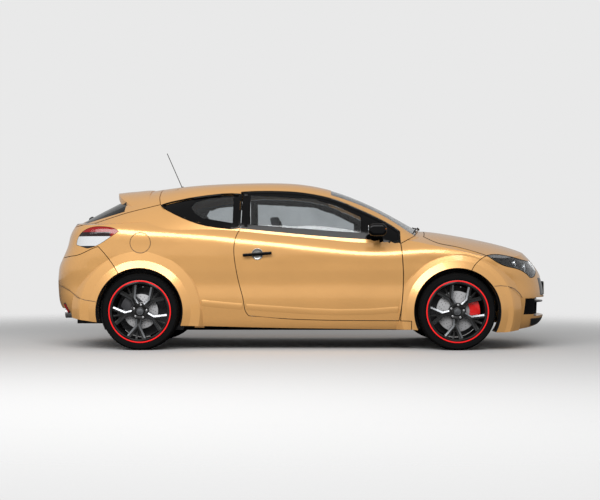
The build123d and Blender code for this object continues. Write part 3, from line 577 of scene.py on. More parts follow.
def cad_copy(node: str, name: str, crisp: float = 0.0, angle: float = 28.0,
             cuts: Iterable[tuple[Point, Point]] = ()) -> bpy.types.Object:
    """Copies a CAD node's mesh, merges its loose triangles and smooths it.

    Args:
        node: The CAD node.
        name: The new piece's name.
        crisp: Width of a bevel on its hard edges, or 0 for none.
        angle: Edges sharper than this, in degrees, stay hard.
        cuts: Planes, each a place and a normal, along which its faces are divided.

    Returns:
        The copy, with no material.
    """
    piece = duplicate(frame["nodes"][node], name)
    piece.data.materials.clear()
    edit(piece, whole, lambda: bpy.ops.mesh.customdata_custom_splitnormals_clear(),
         lambda: bpy.ops.mesh.remove_doubles(threshold=CAD_MERGE))
    if crisp:
        edit(piece, whole, lambda: bpy.ops.mesh.dissolve_limited(angle_limit=math.radians(1.5)))
    for place, normal in cuts:
        edit(piece, whole, lambda: bpy.ops.mesh.bisect(plane_co=place, plane_no=normal))
    soften(piece, crisp, angle=angle)
    if not crisp:
        carry_normals(piece, node)
    return piece


def carry_normals(piece: bpy.types.Object, node: str) -> None:
    """Gives a merged copy the exact surface normals of its CAD node, face by face.

    Args:
        piece: The merged copy.
        node: The CAD node that it was copied from.
    """
    source = frame["nodes"][node].data
    tree = surface_tree(node)
    normals = [Vector((0, 0, 0))] * len(piece.data.loops)
    for face in piece.data.polygons:
        _, _, index, gap = tree.find_nearest(face.center)
        if gap is None or gap > NEAR_SURFACE:
            continue
        loops = source.polygons[index].loop_indices
        corners = [source.vertices[source.loops[i].vertex_index].co for i in loops]
        for i in face.loop_indices:
            place = piece.data.vertices[piece.data.loops[i].vertex_index].co
            shares = poly_3d_calc(corners, place)
            normal = sum((source.corner_normals[k].vector * share for k, share in zip(loops, shares)),
                         Vector((0, 0, 0)))
            normals[i] = normal.normalized()
    piece.data.normals_split_custom_set(normals)


def dressed_copy(node: str, finish: Finish, crisp: float = 0.0, angle: float = 28.0,
                 cuts: Iterable[tuple[Point, Point]] = ()) -> bpy.types.Object:
    """Replaces a CAD node by its smoothed copy in one finish and returns the copy."""
    piece = cad_copy(node, f"{node}_dressed", crisp, angle, cuts)
    return settle(piece, BODY_OF_NODE[node], finish, [node])


# ---------------------------------------------------------------- bodywork
def faces_itself(node: str) -> Callable[[bpy.types.MeshPolygon], bool]:
    """Returns a test that tells whether a face of a hollow node looks at the node's other walls."""
    tree = surface_tree(node)

    def inner(face: bpy.types.MeshPolygon) -> bool:
        """Tells whether a line out of the face meets the node again."""
        return tree.ray_cast(face.center + face.normal * 0.002, face.normal, 4.0)[0] is not None

    return inner


@dataclass
class Bodywork:
    """The painted panels, with their gloss black window frames and dark inner faces."""

    belt_front: tuple[float, float] = (0.82, 0.890)
    belt_rear: tuple[float, float] = (-0.511, 1.013)
    lip_span: tuple[float, float] = (0.19, 0.256)
    lip_from: float = 1.94
    fascia_from: float = 1.8
    fascia_span: tuple[float, float] = (0.452, 0.600)
    fascia_half: float = 0.535
    mouth_span: tuple[float, float] = (0.292, 0.428)
    mouth_half: float = 0.745
    roof_lining_height: float = 1.0
    cabin_half: float = 0.86
    inside_point: Point = (0.0, 0.0, 0.35)
    window_foot: Point = (-1.877, 0, 1.058)
    window_foot_normal: Point = (-0.274, 0, 0.962)
    window_head: Point = (-1.753, 0, 1.140)
    window_head_normal: Point = (0.429, 0, -0.903)
    window_end: Point = (-1.512, 0, 1.2)
    spoiler_root: Point = (-1.50, 0, 1.0)
    plain_panels: list[str] = field(
        default_factory=lambda: ["front_wings", "bonnet", "rear_bumper", "side_skirts"]
    )

    def build(self) -> None:
        """Dresses every panel of the body."""
        for node in self.plain_panels:
            panel = dressed_copy(node, PAINT)
            paint_faces(panel, CHASSIS, self.hidden)
        self.shell()
        self.doors()
        self.nose()
        self.tail()
        dressed_copy("fuel_flap", PAINT)

    def hidden(self, face: bpy.types.MeshPolygon) -> bool:
        """Tells whether a face of a lower panel looks inwards or down."""
        flattening, threshold = 0.6, 0.45
        inward = Vector(self.inside_point) - face.center
        inward.z *= flattening
        return face.normal.dot(inward.normalized()) > threshold

    def shell(self) -> None:
        """Dresses the shell: paint outside, lining under the roof, dark inside below."""
        shell = dressed_copy("body_shell", PAINT)
        inner = faces_itself("body_shell")
        paint_faces(shell, CABIN, lambda face: abs(face.center.y) < self.cabin_half and inner(face))
        paint_faces(shell, LINING, lambda face: (face.center.z > self.roof_lining_height
                                                 and face.normal.z < -0.1 and inner(face)))

    def belt(self, x: float) -> float:
        """Returns the height of the belt line at a place along the door."""
        (front_x, front_z), (rear_x, rear_z) = self.belt_front, self.belt_rear
        return rear_z + (x - rear_x) / (front_x - rear_x) * (front_z - rear_z)

    def doors(self) -> None:
        """Dresses both doors: gloss black frame above the belt, trim panel inside."""
        for side in Side:
            (front_x, front_z), (rear_x, rear_z) = self.belt_front, self.belt_rear
            belt = ((rear_x, 0.0, rear_z), (front_z - rear_z, 0.0, rear_x - front_x))
            door = dressed_copy(f"door_{side.word}", PAINT, cuts=[belt])
            paint_faces(door, GLOSS_BLACK, lambda face: face.center.z > self.belt(face.center.x))
            paint_faces(door, CABIN, lambda face: face.normal.y * side.value < -0.35)

    def nose(self) -> None:
        """Dresses the front bumper: black fascia and mouth, and a black lip under it."""
        level, across = (0, 0, 1), (0, 1, 0)
        lip_low, lip_high = self.lip_span
        cuts = [((0, 0, z), level) for z in (lip_high, *self.fascia_span, *self.mouth_span)]
        cuts += [((0, y * side.value, 0), across)
                 for y in (self.fascia_half, self.mouth_half) for side in Side]
        bumper = dressed_copy("front_bumper", PAINT, cuts=cuts)
        for (low, high), half in ((self.fascia_span, self.fascia_half), (self.mouth_span, self.mouth_half)):
            paint_faces(bumper, GLOSS_BLACK, lambda face: (
                low < face.center.z < high and face.center.x > self.fascia_from
                and abs(face.center.y) < half))
        paint_faces(bumper, BLACK, lambda face: (
            lip_high > face.center.z > lip_low and face.center.x > self.lip_from))
        paint_faces(bumper, CHASSIS, self.hidden)

    def tail(self) -> None:
        """Dresses the tailgate: black round the window, dark on its inner side."""
        foot, foot_normal = Vector(self.window_foot), Vector(self.window_foot_normal)
        head, head_normal = Vector(self.window_head), Vector(self.window_head_normal)
        end, root = Vector(self.window_end), Vector(self.spoiler_root)
        cuts = [(foot, foot_normal), (head, head_normal), (end, (1, 0, 0))]
        gate = dressed_copy("tailgate", PAINT, cuts=cuts)
        paint_faces(gate, GLOSS_BLACK, lambda face: face.center.x < end.x and min(
            (face.center - foot).dot(foot_normal), (face.center - head).dot(head_normal)) > 0)
        paint_faces(gate, CABIN, lambda face: face.normal.dot((root - face.center).normalized()) > 0.5)


@dataclass
class Glazing:
    """Windows of the car."""

    door_clear: Outline = field(default_factory=lambda: [
        (-0.437, 1.048), (0.300, 0.992), (0.494, 0.980), (0.494, 1.114), (0.300, 1.204), (0.105, 1.272),
        (-0.437, 1.301)])
    quarter_clear: Outline = field(default_factory=lambda: [
        (-0.582, 1.060), (-0.582, 1.291), (-0.800, 1.272), (-0.902, 1.238), (-0.934, 1.198),
        (-0.905, 1.150), (-0.840, 1.104)])

    def build(self) -> None:
        """Dresses every pane."""
        dressed_copy("windscreen", GLASS)
        dressed_copy("rear_glass", DARK_GLASS)
        self.printed("quarter_glasses", self.quarter_clear)
        for side in Side:
            self.printed(f"door_glass_{side.word}", self.door_clear)

    @staticmethod
    def printed(node: str, clear: Outline) -> None:
        """Dresses a pane that is black round its edge.

        Args:
            node: The pane's node.
            clear: Side-view outline of its clear part, bulging everywhere.
        """
        middle = Vector((sum(x for x, _ in clear), 0, sum(z for _, z in clear))) / len(clear)
        planes = []
        for (x0, z0), (x1, z1) in zip(clear, clear[1:] + clear[:1]):
            across = Vector((z0 - z1, 0, x1 - x0)).normalized()
            start = Vector((x0, 0, z0))
            planes.append((start, across if across.dot(middle - start) > 0 else -across))
        pane = dressed_copy(node, GLASS, cuts=planes)
        paint_faces(pane, GLOSS_BLACK, lambda face: any(
            (face.center - start).dot(inwards) < 0 for start, inwards in planes))


# ---------------------------------------------------------------- wheels
@dataclass
class Wheel:
    """One road wheel: tyre with tread and side wall, forked spokes, bolts, cap and disc."""

    end: str
    side: Side
    tyre_radius: float = 0.322
    half_width: float = 0.117
    tread_half: float = 0.098
    bolt_circle: float = 0.055
    tread_blocks: int = 60
    first_spoke: float = 46
    first_bolt: float = 10
    hole_rows: Point = (0.012, 0.030, 0.048)
    holes_in_row: int = 24

    def __post_init__(self) -> None:
        """Finds the wheel's centre and body from the frame."""
        low, high = box_of(f"tyre_{self.end}_{self.side.word}")
        self.centre = (low + high) / 2
        self.body = f"wheel_{self.end}_{self.side.word}"
        self.outward = self.side.value

    def build(self) -> None:
        """Builds and dresses all pieces of the wheel."""
        self.tyre()
        self.rim()
        self.spoke_faces()
        self.bolts()
        self.cap()
        self.disc()
        self.shield()

    def name(self, piece: str) -> str:
        """Returns a piece's full name."""
        return f"{piece}_{self.end}_{self.side.word}"

    def around(self, radius: float, turn: float, out: float) -> Vector:
        """Returns the place at a radius and an angle about the axle, some way out from the middle."""
        return self.centre + Vector((radius * math.cos(turn), self.outward * out, radius * math.sin(turn)))

    def lathe(self, name: str, profile: Outline, steps: int = 96) -> bpy.types.Object:
        """Turns a closed profile about the axle.

        Args:
            name: The piece's name.
            profile: Closed outline as (radius, distance outwards) points.
            steps: Steps round the circle.

        Returns:
            The turned piece, in place.
        """
        piece = primitive(name, bpy.ops.mesh.primitive_circle_add, vertices=len(profile), radius=0.1,
                          fill_type="NOTHING")
        for vertex, (radius, out) in zip(piece.data.vertices, profile):
            vertex.co = self.centre + Vector((radius, out * self.outward, 0))
        spin_closed(piece, steps, self.centre, (0, 1, 0))
        return piece

    def tyre(self) -> None:
        """Builds the tyre: rounded shoulders, ribbed side wall, grooved tread."""
        bead, wide, tread, top = 0.2425, self.half_width, self.tread_half, self.tyre_radius
        half = [(bead, 0.100), (bead + 0.004, 0.106), (bead + 0.010, 0.1085), (bead + 0.016, 0.1105),
                (bead + 0.018, 0.1125), (bead + 0.022, 0.1125), (bead + 0.025, 0.1145),
                (bead + 0.034, wide), (bead + 0.046, wide), (bead + 0.056, wide - 0.001),
                (bead + 0.058, wide + 0.0005), (bead + 0.061, wide + 0.0005), (bead + 0.063, wide - 0.003),
                (top - 0.011, tread + 0.012), (top - 0.006, tread + 0.006), (top - 0.003, tread - 0.004)]
        grooves = [(top - 0.001, 0.080), (top - 0.001, 0.074), (top - 0.008, 0.073), (top - 0.008, 0.064),
                   (top, 0.063), (top, 0.032), (top - 0.008, 0.031), (top - 0.008, 0.021), (top, 0.020)]
        half += grooves
        profile = half + [(radius, -out) for radius, out in reversed(half)]
        tyre = self.lathe(self.name("tyre_dressed"), profile, self.tread_blocks * 2)
        self.cut_sipes(tyre)
        apply_all(tyre)
        smooth_within(tyre, 32)
        settle(tyre, self.body, RUBBER, [self.name("tyre")])

    def cut_sipes(self, tyre: bpy.types.Object) -> None:
        """Sinks every second step of the outer tread blocks, so that they stand apart.

        Args:
            tyre: The turned tyre.
        """
        step = math.tau / (self.tread_blocks * 2)

        def between_blocks(face: bpy.types.MeshPolygon) -> bool:
            """Tells whether a face is in a gap between two blocks of the shoulder."""
            offset = face.center - self.centre
            turn = math.atan2(offset.z, offset.x) % math.tau
            out = abs(offset.y)
            radius = math.hypot(offset.x, offset.z)
            return int(turn / step) % 2 == 0 and 0.081 < out < 0.108 and radius > self.tyre_radius - 0.0115

        pick_faces(tyre, between_blocks)
        edit(tyre, lambda: bpy.ops.mesh.inset(thickness=0.0022, depth=-0.004, use_individual=False))

    def rim(self) -> None:
        """Dresses the rim: softened edges, a thin red ring at its lip with a faint painted glow."""
        dressed_copy(self.name("rim"), ALLOY, 0.003, 35)
        ring = self.lathe(self.name("rim_ring"), [
            (0.2500, 0.1181), (0.2590, 0.1181), (0.2594, 0.1192), (0.2547, 0.1200), (0.2497, 0.1192),
        ])
        soften(ring, 0.0)
        settle(ring, self.body, GLOWING_RED_RING)

    def spoke_faces(self) -> None:
        """Lays a bright bevelled face along the outer edge of every fork arm and stem."""
        faces = []
        for spoke in range(5):
            turn = math.radians(self.first_spoke + FIFTH_TURN * spoke)
            faces += [self.spoke_face(turn, hand) for hand in (1, -1)]
        settle(join(faces, self.name("spoke_faces")), self.body, CUT_ALLOY)

    def spoke_face(self, turn: float, hand: int) -> bpy.types.Object:
        """Builds one sloping face: a wedge that is low at the spoke's outer edge.

        Args:
            turn: The spoke's angle from straight ahead.
            hand: Which arm of the fork, 1 or -1.

        Returns:
            The face's piece, in place.
        """
        outer = [(0.066, 0.0250), (0.118, 0.0205), (0.209, 0.0785)]
        inner = [(0.217, 0.0665), (0.126, 0.0080), (0.066, 0.0125)]
        piece = primitive("spoke_face", bpy.ops.mesh.primitive_circle_add, vertices=6, radius=0.1,
                          fill_type="NGON")
        for vertex, (along, aside) in zip(piece.data.vertices, outer + inner):
            x = along * math.cos(turn) - hand * aside * math.sin(turn)
            z = along * math.sin(turn) + hand * aside * math.cos(turn)
            vertex.co = self.centre + Vector((x, 0.0955 * self.outward, z))
        edit(piece, whole, lambda: bpy.ops.mesh.quads_convert_to_tris(),
             lambda: bpy.ops.mesh.extrude_region_move(
                 TRANSFORM_OT_translate={"value": (0, 0.0031 * self.outward, 0)}))
        for vertex in piece.data.vertices[9:12]:
            vertex.co.y += 0.0042 * self.outward
        edit(piece, whole, lambda: bpy.ops.mesh.normals_make_consistent(inside=False))
        soften(piece, 0.0006, 1, 25)
        return piece

    def shield(self) -> None:
        """Builds the dished dust shield behind the disc."""
        back = -0.052
        shield = self.lathe(self.name("dust_shield"), [
            (0.060, back), (0.150, back), (0.196, back - 0.012), (0.212, back - 0.010),
            (0.214, back - 0.004), (0.216, back - 0.004), (0.214, back - 0.013), (0.196, back - 0.015),
            (0.150, back - 0.003), (0.060, back - 0.003),
        ], 64)
        soften(shield, 0.0)
        body = f"upright_{self.side.word}" if self.end == "front" else "chassis"
        settle(shield, body, CHASSIS)

    def stud(self, name: str, place: Vector, radius: float, depth: float,
             sides: int = 6) -> bpy.types.Object:
        """Models one bolt head: a hexagon with a chamfer and a hollow.

        Args:
            name: The piece's name.
            place: Middle of its foot.
            radius: Radius over its corners.
            depth: How far it stands out.
            sides: Number of flats.

        Returns:
            The bolt head.
        """
        bolt = primitive(name, bpy.ops.mesh.primitive_cylinder_add, vertices=sides, radius=radius,
                         depth=depth, rotation=(math.radians(90), 0, 0),
                         location=place + Vector((0, self.outward * depth / 2, 0)))
        bpy.ops.object.transform_apply(location=True, rotation=True, scale=True)
        pick_faces(bolt, lambda face: face.normal.y * self.outward > 0.9)
        edit(bolt, lambda: bpy.ops.mesh.inset(thickness=radius * 0.22, depth=radius * 0.12),
             lambda: bpy.ops.mesh.inset(thickness=radius * 0.18, depth=0),
             lambda: bpy.ops.mesh.inset(thickness=radius * 0.04, depth=-depth * 0.5))
        return bolt

    def bolts(self) -> None:
        """Sets five wheel bolts and the tyre's valve."""
        hub_face, valve_foot, valve_radius, valve_turn = 0.089, 0.082, 0.205, math.radians(82)
        heads = []
        for i in range(5):
            turn = math.radians(self.first_bolt + FIFTH_TURN * i)
            heads.append(self.stud("bolt", self.around(self.bolt_circle, turn, hub_face), 0.0098, 0.011))
        valve_at = self.around(valve_radius, valve_turn, valve_foot)
        heads.append(self.stud("valve", valve_at, 0.0045, 0.024, 12))
        bolts = join(heads, self.name("wheel_bolts"))
        soften(bolts, 0.0005, 1)
        settle(bolts, self.body, STEEL)

    def cap(self) -> None:
        """Builds the bare centre cap with its raised rim."""
        cap = self.lathe(self.name("centre_cap"), [
            (0.0, 0.0985), (0.0, 0.1012), (0.012, 0.1010), (0.022, 0.1002), (0.0245, 0.1000),
            (0.0260, 0.1016), (0.0292, 0.1016), (0.0305, 0.0998), (0.0305, 0.0982),
        ], 48)
        soften(cap, 0.0)
        settle(cap, self.body, CUT_ALLOY)

    def disc(self) -> None:
        """Dresses the brake disc and lays rows of black dots on its face: painted shade for the holes through
        it.
        """
        dressed_copy(self.name("disc"), IRON, 0.0015, 35)
        outer, disc_face = 0.160 if self.end == "front" else 0.135, 0.0532
        # The black dots are painted shade standing for holes; the disc itself has no holes.
        dots = []
        for row, inset in enumerate(self.hole_rows):
            for i in range(self.holes_in_row):
                turn = math.tau * (i + row / len(self.hole_rows)) / self.holes_in_row
                dots.append(primitive(
                    "dot", bpy.ops.mesh.primitive_circle_add, vertices=10, radius=0.0034, fill_type="NGON",
                    rotation=(math.radians(90), 0, 0), location=self.around(outer - inset, turn, disc_face)))
        hole_shade_dots = join(dots, self.name("disc_holes"))
        apply_all(hole_shade_dots)
        for face in hole_shade_dots.data.polygons:
            if face.normal.y * self.outward < 0:
                face.flip()
        edit(hole_shade_dots, whole, lambda: bpy.ops.mesh.inset(thickness=0.0008, depth=-0.0001, use_individual=True))
        settle(hole_shade_dots, self.body, CHASSIS)


# ---------------------------------------------------------------- fittings on the surface
def surface_point(node: str, start: Point, direction: Point) -> tuple[Vector, Vector]:
    """Finds where a straight line first meets a CAD node.

    Args:
        node: The CAD node.
        start: Where the line starts.
        direction: Which way it runs.

    Returns:
        The place and the surface's normal there.

    Raises:
        ValueError: The line misses the node.
    """
    place, normal, _, _ = surface_tree(node).ray_cast(Vector(start), Vector(direction).normalized())
    if place is None:
        raise ValueError(f"no surface of {node} from {start} along {direction}")
    return place, normal


def facing(normal: Vector, place: Vector, turn: float = 0.0) -> Matrix:
    """Returns the transform that puts a piece drawn flat on XY onto a surface, its X level."""
    up = normal.normalized()
    along = Vector((0, 0, 1)).cross(up)
    along = along.normalized() if along.length > 0.01 else Vector((1, 0, 0))
    across = up.cross(along)
    turned = Matrix((along, across, up)).transposed().to_4x4()
    return Matrix.Translation(place) @ turned @ Matrix.Rotation(turn, 4, "Z")


def turned_piece(name: str, profile: Outline, placing: Matrix, steps: int = 40) -> bpy.types.Object:
    """Turns a profile about its own axis and puts the result in place.

    Args:
        name: The piece's name.
        profile: Open or closed outline as (radius, height) points.
        placing: Transform from the piece's own axes, its axis along Z, to the car.
        steps: Steps round the circle.

    Returns:
        The turned piece.
    """
    piece = primitive(name, bpy.ops.mesh.primitive_circle_add, vertices=len(profile), radius=0.1,
                      fill_type="NOTHING")
    for vertex, (radius, height) in zip(piece.data.vertices, profile):
        vertex.co = Vector((radius, 0, height))
    spin_closed(piece, steps, (0, 0, 0), (0, 0, 1))
    piece.data.transform(placing)
    return smooth_within(piece, 35)


def rounded_box(name: str, size: Point, placing: Matrix, softness: float,
                segments: int = 3) -> bpy.types.Object:
    """Models a box with rounded edges and puts it in place.

    Args:
        name: The piece's name.
        size: Its size along its own axes.
        placing: Transform from its own axes to the car.
        softness: Radius of its edges.
        segments: Steps round an edge.

    Returns:
        The piece.
    """
    piece = primitive(name, bpy.ops.mesh.primitive_cube_add, size=1)
    piece.scale = size
    bpy.ops.object.transform_apply(location=False, rotation=False, scale=True)
    edit(piece, whole, lambda: bpy.ops.mesh.bevel(offset=softness, segments=segments, affect="EDGES"))
    piece.data.transform(placing)
    return smooth_within(piece, 40)


def flank_point(nodes: Iterable[str], side: Side, x: float, z: float) -> Vector:
    """Finds the outermost surface of some CAD nodes at a place on the side view.

    Args:
        nodes: The CAD nodes.
        side: The side of the car.
        x: Place along the car.
        z: Height.

    Returns:
        The place on the surface; beside a gap or an edge, the nearest surface's height over it.
    """
    reach = 0.014
    hits = []
    for dx, dz in ((0, 0), (reach, 0), (-reach, 0), (0, reach), (0, -reach)):
        outer = 0.0
        for node in nodes:
            start = Vector((x + dx, 1.3 * side.value, z + dz))
            place = surface_tree(node).ray_cast(start, Vector((0, -side.value, 0)))[0]
            if place is not None:
                outer = max(outer, place.y * side.value)
        hits.append(outer)
    outer = hits[0] if hits[0] > max(hits) - 0.012 else max(hits)
    return Vector((x, outer * side.value, z))


def spaced(line: Outline, step: float) -> Outline:
    """Returns a line with more points, no further apart than a step."""
    points = [line[0]]
    for (x0, z0), (x1, z1) in zip(line, line[1:]):
        count = max(1, round(math.hypot(x1 - x0, z1 - z0) / step))
        points += [(x0 + (x1 - x0) * i / count, z0 + (z1 - z0) * i / count) for i in range(1, count)]
        points.append((x1, z1))
    return points


@dataclass
class Ribbon:
    """A thin strip laid on the flank along a line drawn on the side view."""

    nodes: tuple[str, ...]
    side: Side
    lift: float = 0.0012
    thickness: float = 0.0022
    ridge: float = 0.0

    def lay(self, name: str, line: Outline, width: float) -> bpy.types.Object:
        """Lays the strip.

        Args:
            name: The piece's name.
            line: Its middle line as (x, z) points; a closed strip repeats its first point.
            width: Its width.

        Returns:
            The strip.
        """
        closed = line[0] == line[-1]
        last = len(line) - 1
        strip = primitive(name, bpy.ops.mesh.primitive_grid_add, x_subdivisions=last, y_subdivisions=2,
                          size=1)
        for i, (x, z) in enumerate(line):
            before = line[last - 1] if closed and i == 0 else line[max(i - 1, 0)]
            after = line[1] if closed and i == last else line[min(i + 1, last)]
            run = Vector((after[0] - before[0], after[1] - before[1])).normalized()
            for row, share in enumerate((-0.5, 0.0, 0.5)):
                vertex = strip.data.vertices[row * (last + 1) + i]
                vertex.co = flank_point(self.nodes, self.side, x - run.y * width * share,
                                        z + run.x * width * share)
                vertex.co.y += (self.lift + self.ridge * (1 - 2 * abs(share))) * self.side.value
        edit(strip, whole, lambda: bpy.ops.mesh.remove_doubles(threshold=CAD_MERGE))
        if sum(face.normal.y for face in strip.data.polygons) * self.side.value < 0:
            strip.data.flip_normals()
        thicken(strip, self.thickness, 1.0, 35)
        return strip


@dataclass
class SideTrim:
    """Quarter window surrounds, pillar covers, handles and mirrors along the flanks."""

    quarter_frame: Outline = field(default_factory=lambda: [
        (-0.530, 1.310), (-0.530, 1.180), (-0.530, 1.021), (-0.600, 1.015), (-0.700, 1.026),
        (-0.803, 1.042), (-0.870, 1.059), (-0.937, 1.082), (-1.005, 1.110), (-1.071, 1.141),
        (-1.130, 1.172), (-1.192, 1.214), (-1.110, 1.239), (-0.949, 1.274), (-0.820, 1.294),
        (-0.682, 1.311), (-0.600, 1.314), (-0.530, 1.310)])
    handle_at: tuple[float, float] = (-0.371, 0.799)
    handle_length: float = 0.240
    pillar_line: Outline = field(default_factory=lambda: [(-0.5255, 1.018), (-0.5195, 1.314)])
    door_line: Outline = field(default_factory=lambda: [(-0.4745, 1.030), (-0.4725, 1.306)])
    mirror_glass: Point = (0.112, 0.074, 0.0024)
    mirror_middle: tuple[float, float] = (0.955, 0.997)
    repeater_size: Point = (0.050, 0.074, 0.008)
    repeater_height: float = 1.004

    def build(self) -> None:
        """Builds the trim of both flanks."""
        for side in Side:
            nodes = ("body_shell", "quarter_glasses")
            surround = Ribbon(nodes, side).lay(
                f"quarter_surround_{side.word}", spaced(self.quarter_frame, 0.02), 0.014)
            settle(surround, "chassis", GLOSS_BLACK)
            self.pillar(side)
            self.handle(side)
            self.mirror(side)

    def pillar(self, side: Side) -> None:
        """Lays the gloss black covers on the pillar and on the door frame beside it."""
        cover = Ribbon(("body_shell",), side).lay(
            f"pillar_cover_{side.word}", spaced(self.pillar_line, 0.02), 0.021)
        settle(cover, "chassis", GLOSS_BLACK)
        door = f"door_{side.word}"
        strip = Ribbon((door, f"door_glass_{side.word}"), side).lay(
            f"door_frame_cover_{side.word}", spaced(self.door_line, 0.02), 0.034)
        settle(strip, door, GLOSS_BLACK)

    def handle(self, side: Side) -> None:
        """Builds the door handle over its round cup.

        Args:
            side: The side of the car.
        """
        x, z = self.handle_at
        body = f"door_{side.word}"
        place, normal = surface_point(body, (x, 1.4 * side.value, z), (0, -side.value, 0))
        cup = turned_piece(f"handle_cup_{side.word}", [
            (0.0, 0.0008), (0.030, 0.0010), (0.043, 0.0022), (0.0455, 0.0042), (0.0475, 0.0038),
            (0.0482, 0.0005), (0.0, 0.0004),
        ], facing(normal, place))
        settle(cup, body, SILVER)
        placing = facing(normal, place + normal * 0.030, math.radians(-4.5) * side.value)
        grip = rounded_box("grip", (self.handle_length, 0.026, 0.014), placing, 0.0062)
        posts = []
        for share in (-0.42, 0.42):
            foot = placing @ Matrix.Translation((share * self.handle_length, 0, -0.016))
            posts.append(rounded_box("post", (0.026, 0.020, 0.028), foot, 0.005))
        handle = join([grip, *posts], f"door_handle_{side.word}")
        settle(handle, body, GLOSS_BLACK)

    def mirror(self, side: Side) -> None:
        """Dresses the door mirror: gloss shell, silvered glass, amber repeater.

        Args:
            side: The side of the car.
        """
        node = f"mirror_{side.word}"
        dressed_copy(node, GLOSS_BLACK, angle=40)
        low, high = box_of(node)
        out, height = self.mirror_middle
        back = Vector((low.x - self.mirror_glass[2] / 2, side.value * out, height))
        glass = rounded_box(f"mirror_glass_{side.word}", self.mirror_glass,
                            Matrix.Translation(back) @ upright(-1), 0.0011, 2)
        settle(glass, f"door_{side.word}", MIRROR)
        tip = abs(high.y if side is Side.LEFT else low.y)
        strip_at = (high.x - 0.030, side.value * (tip - 0.040), self.repeater_height)
        strip = rounded_box(f"mirror_repeater_{side.word}", self.repeater_size,
                            Matrix.Translation(strip_at), 0.003)
        settle(strip, f"door_{side.word}", AMBER_LENS)


# ---------------------------------------------------------------- lamps
def skin_of(node: str, name: str, outward: Callable[[bpy.types.MeshPolygon], bool],
            keep_outer: bool) -> bpy.types.Object:
    """Copies a lamp's solid and keeps either its outer skin or its inner bowl.

    Args:
        node: The CAD node.
        name: The new piece's name.
        outward: Tells an outer face.
        keep_outer: Keep the outer skin, or the rest.

    Returns:
        The open shell.
    """
    piece = cad_copy(node, name)
    pick_faces(piece, lambda face: outward(face) != keep_outer)
    edit(piece, lambda: bpy.ops.mesh.delete(type="FACE"))
    return piece


@dataclass
class HeadLamps:
    """Both headlamps: clear cover, dark bowl and two projectors each."""

    projector_places: tuple[Point, ...] = ((0.640, 0.690, 0.040), (0.745, 0.722, 0.030))

    @staticmethod
    def outer(face: bpy.types.MeshPolygon) -> bool:
        """Tells whether a face belongs to the lamp's outer skin."""
        sign = 1 if face.center.y > 0 else -1
        return face.normal.y * sign > 0.05 and face.normal.dot(Vector((0.5, sign * 0.7, 0.35))) > 0.12

    def build(self) -> None:
        """Builds both lamps."""
        cover = skin_of("headlamps", "headlamp_covers", self.outer, True)
        bowl = skin_of("headlamps", "headlamp_bowls", self.outer, False)
        thicken(cover, 0.003, -1.0, 30)
        settle(cover, "chassis", LENS, ["headlamps"])
        bowl.data.flip_normals()
        settle(bowl, "chassis", HOUSING)
        for side in Side:
            parts = [self.projector(side, *place) for place in self.projector_places]
            settle(join([cup for cup, _ in parts], f"headlamp_cups_{side.word}"),
                   "chassis", MIRROR)
            settle(join([ball for _, ball in parts], f"headlamp_lenses_{side.word}"),
                   "chassis", LENS)

    def projector(self, side: Side, out: float, height: float, radius: float
                  ) -> tuple[bpy.types.Object, bpy.types.Object]:
        """Builds one projector behind the cover.

        Args:
            side: The side of the car.
            out: Its distance from the middle of the car.
            height: Its height.
            radius: Its radius.

        Returns:
            Its bright cup and its glass.
        """
        place, _ = surface_point("headlamps", (3.0, out * side.value, height), (-1, 0, 0))
        aim = Vector((1.0, 0.25 * side.value, 0.0))
        placing = facing(aim, place - Vector((0.030, 0, 0)))
        deep = radius * 1.25
        cup = turned_piece("cup", [
            (radius * 0.55, -deep), (radius * 0.80, -deep * 0.55), (radius, -0.004), (radius * 1.08, 0.0),
            (radius * 1.18, -0.002), (radius * 1.16, -0.012), (radius * 0.60, -deep - 0.002),
        ], placing)
        ball = turned_piece("ball", [
            (0.0, -0.002), (radius * 0.35, -0.004), (radius * 0.62, -0.010), (radius * 0.78, -0.019),
            (radius * 0.78, -0.023), (0.0, -0.023),
        ], placing)
        return cup, ball


@dataclass
class TailLamps:
    """Both tail lamps, banded red, dark and clear, with ribs behind the lens."""

    def build(self) -> None:
        """Dresses both lamps."""
        dressed_copy("tail_lamps", LampBands("banded_red_lens"))


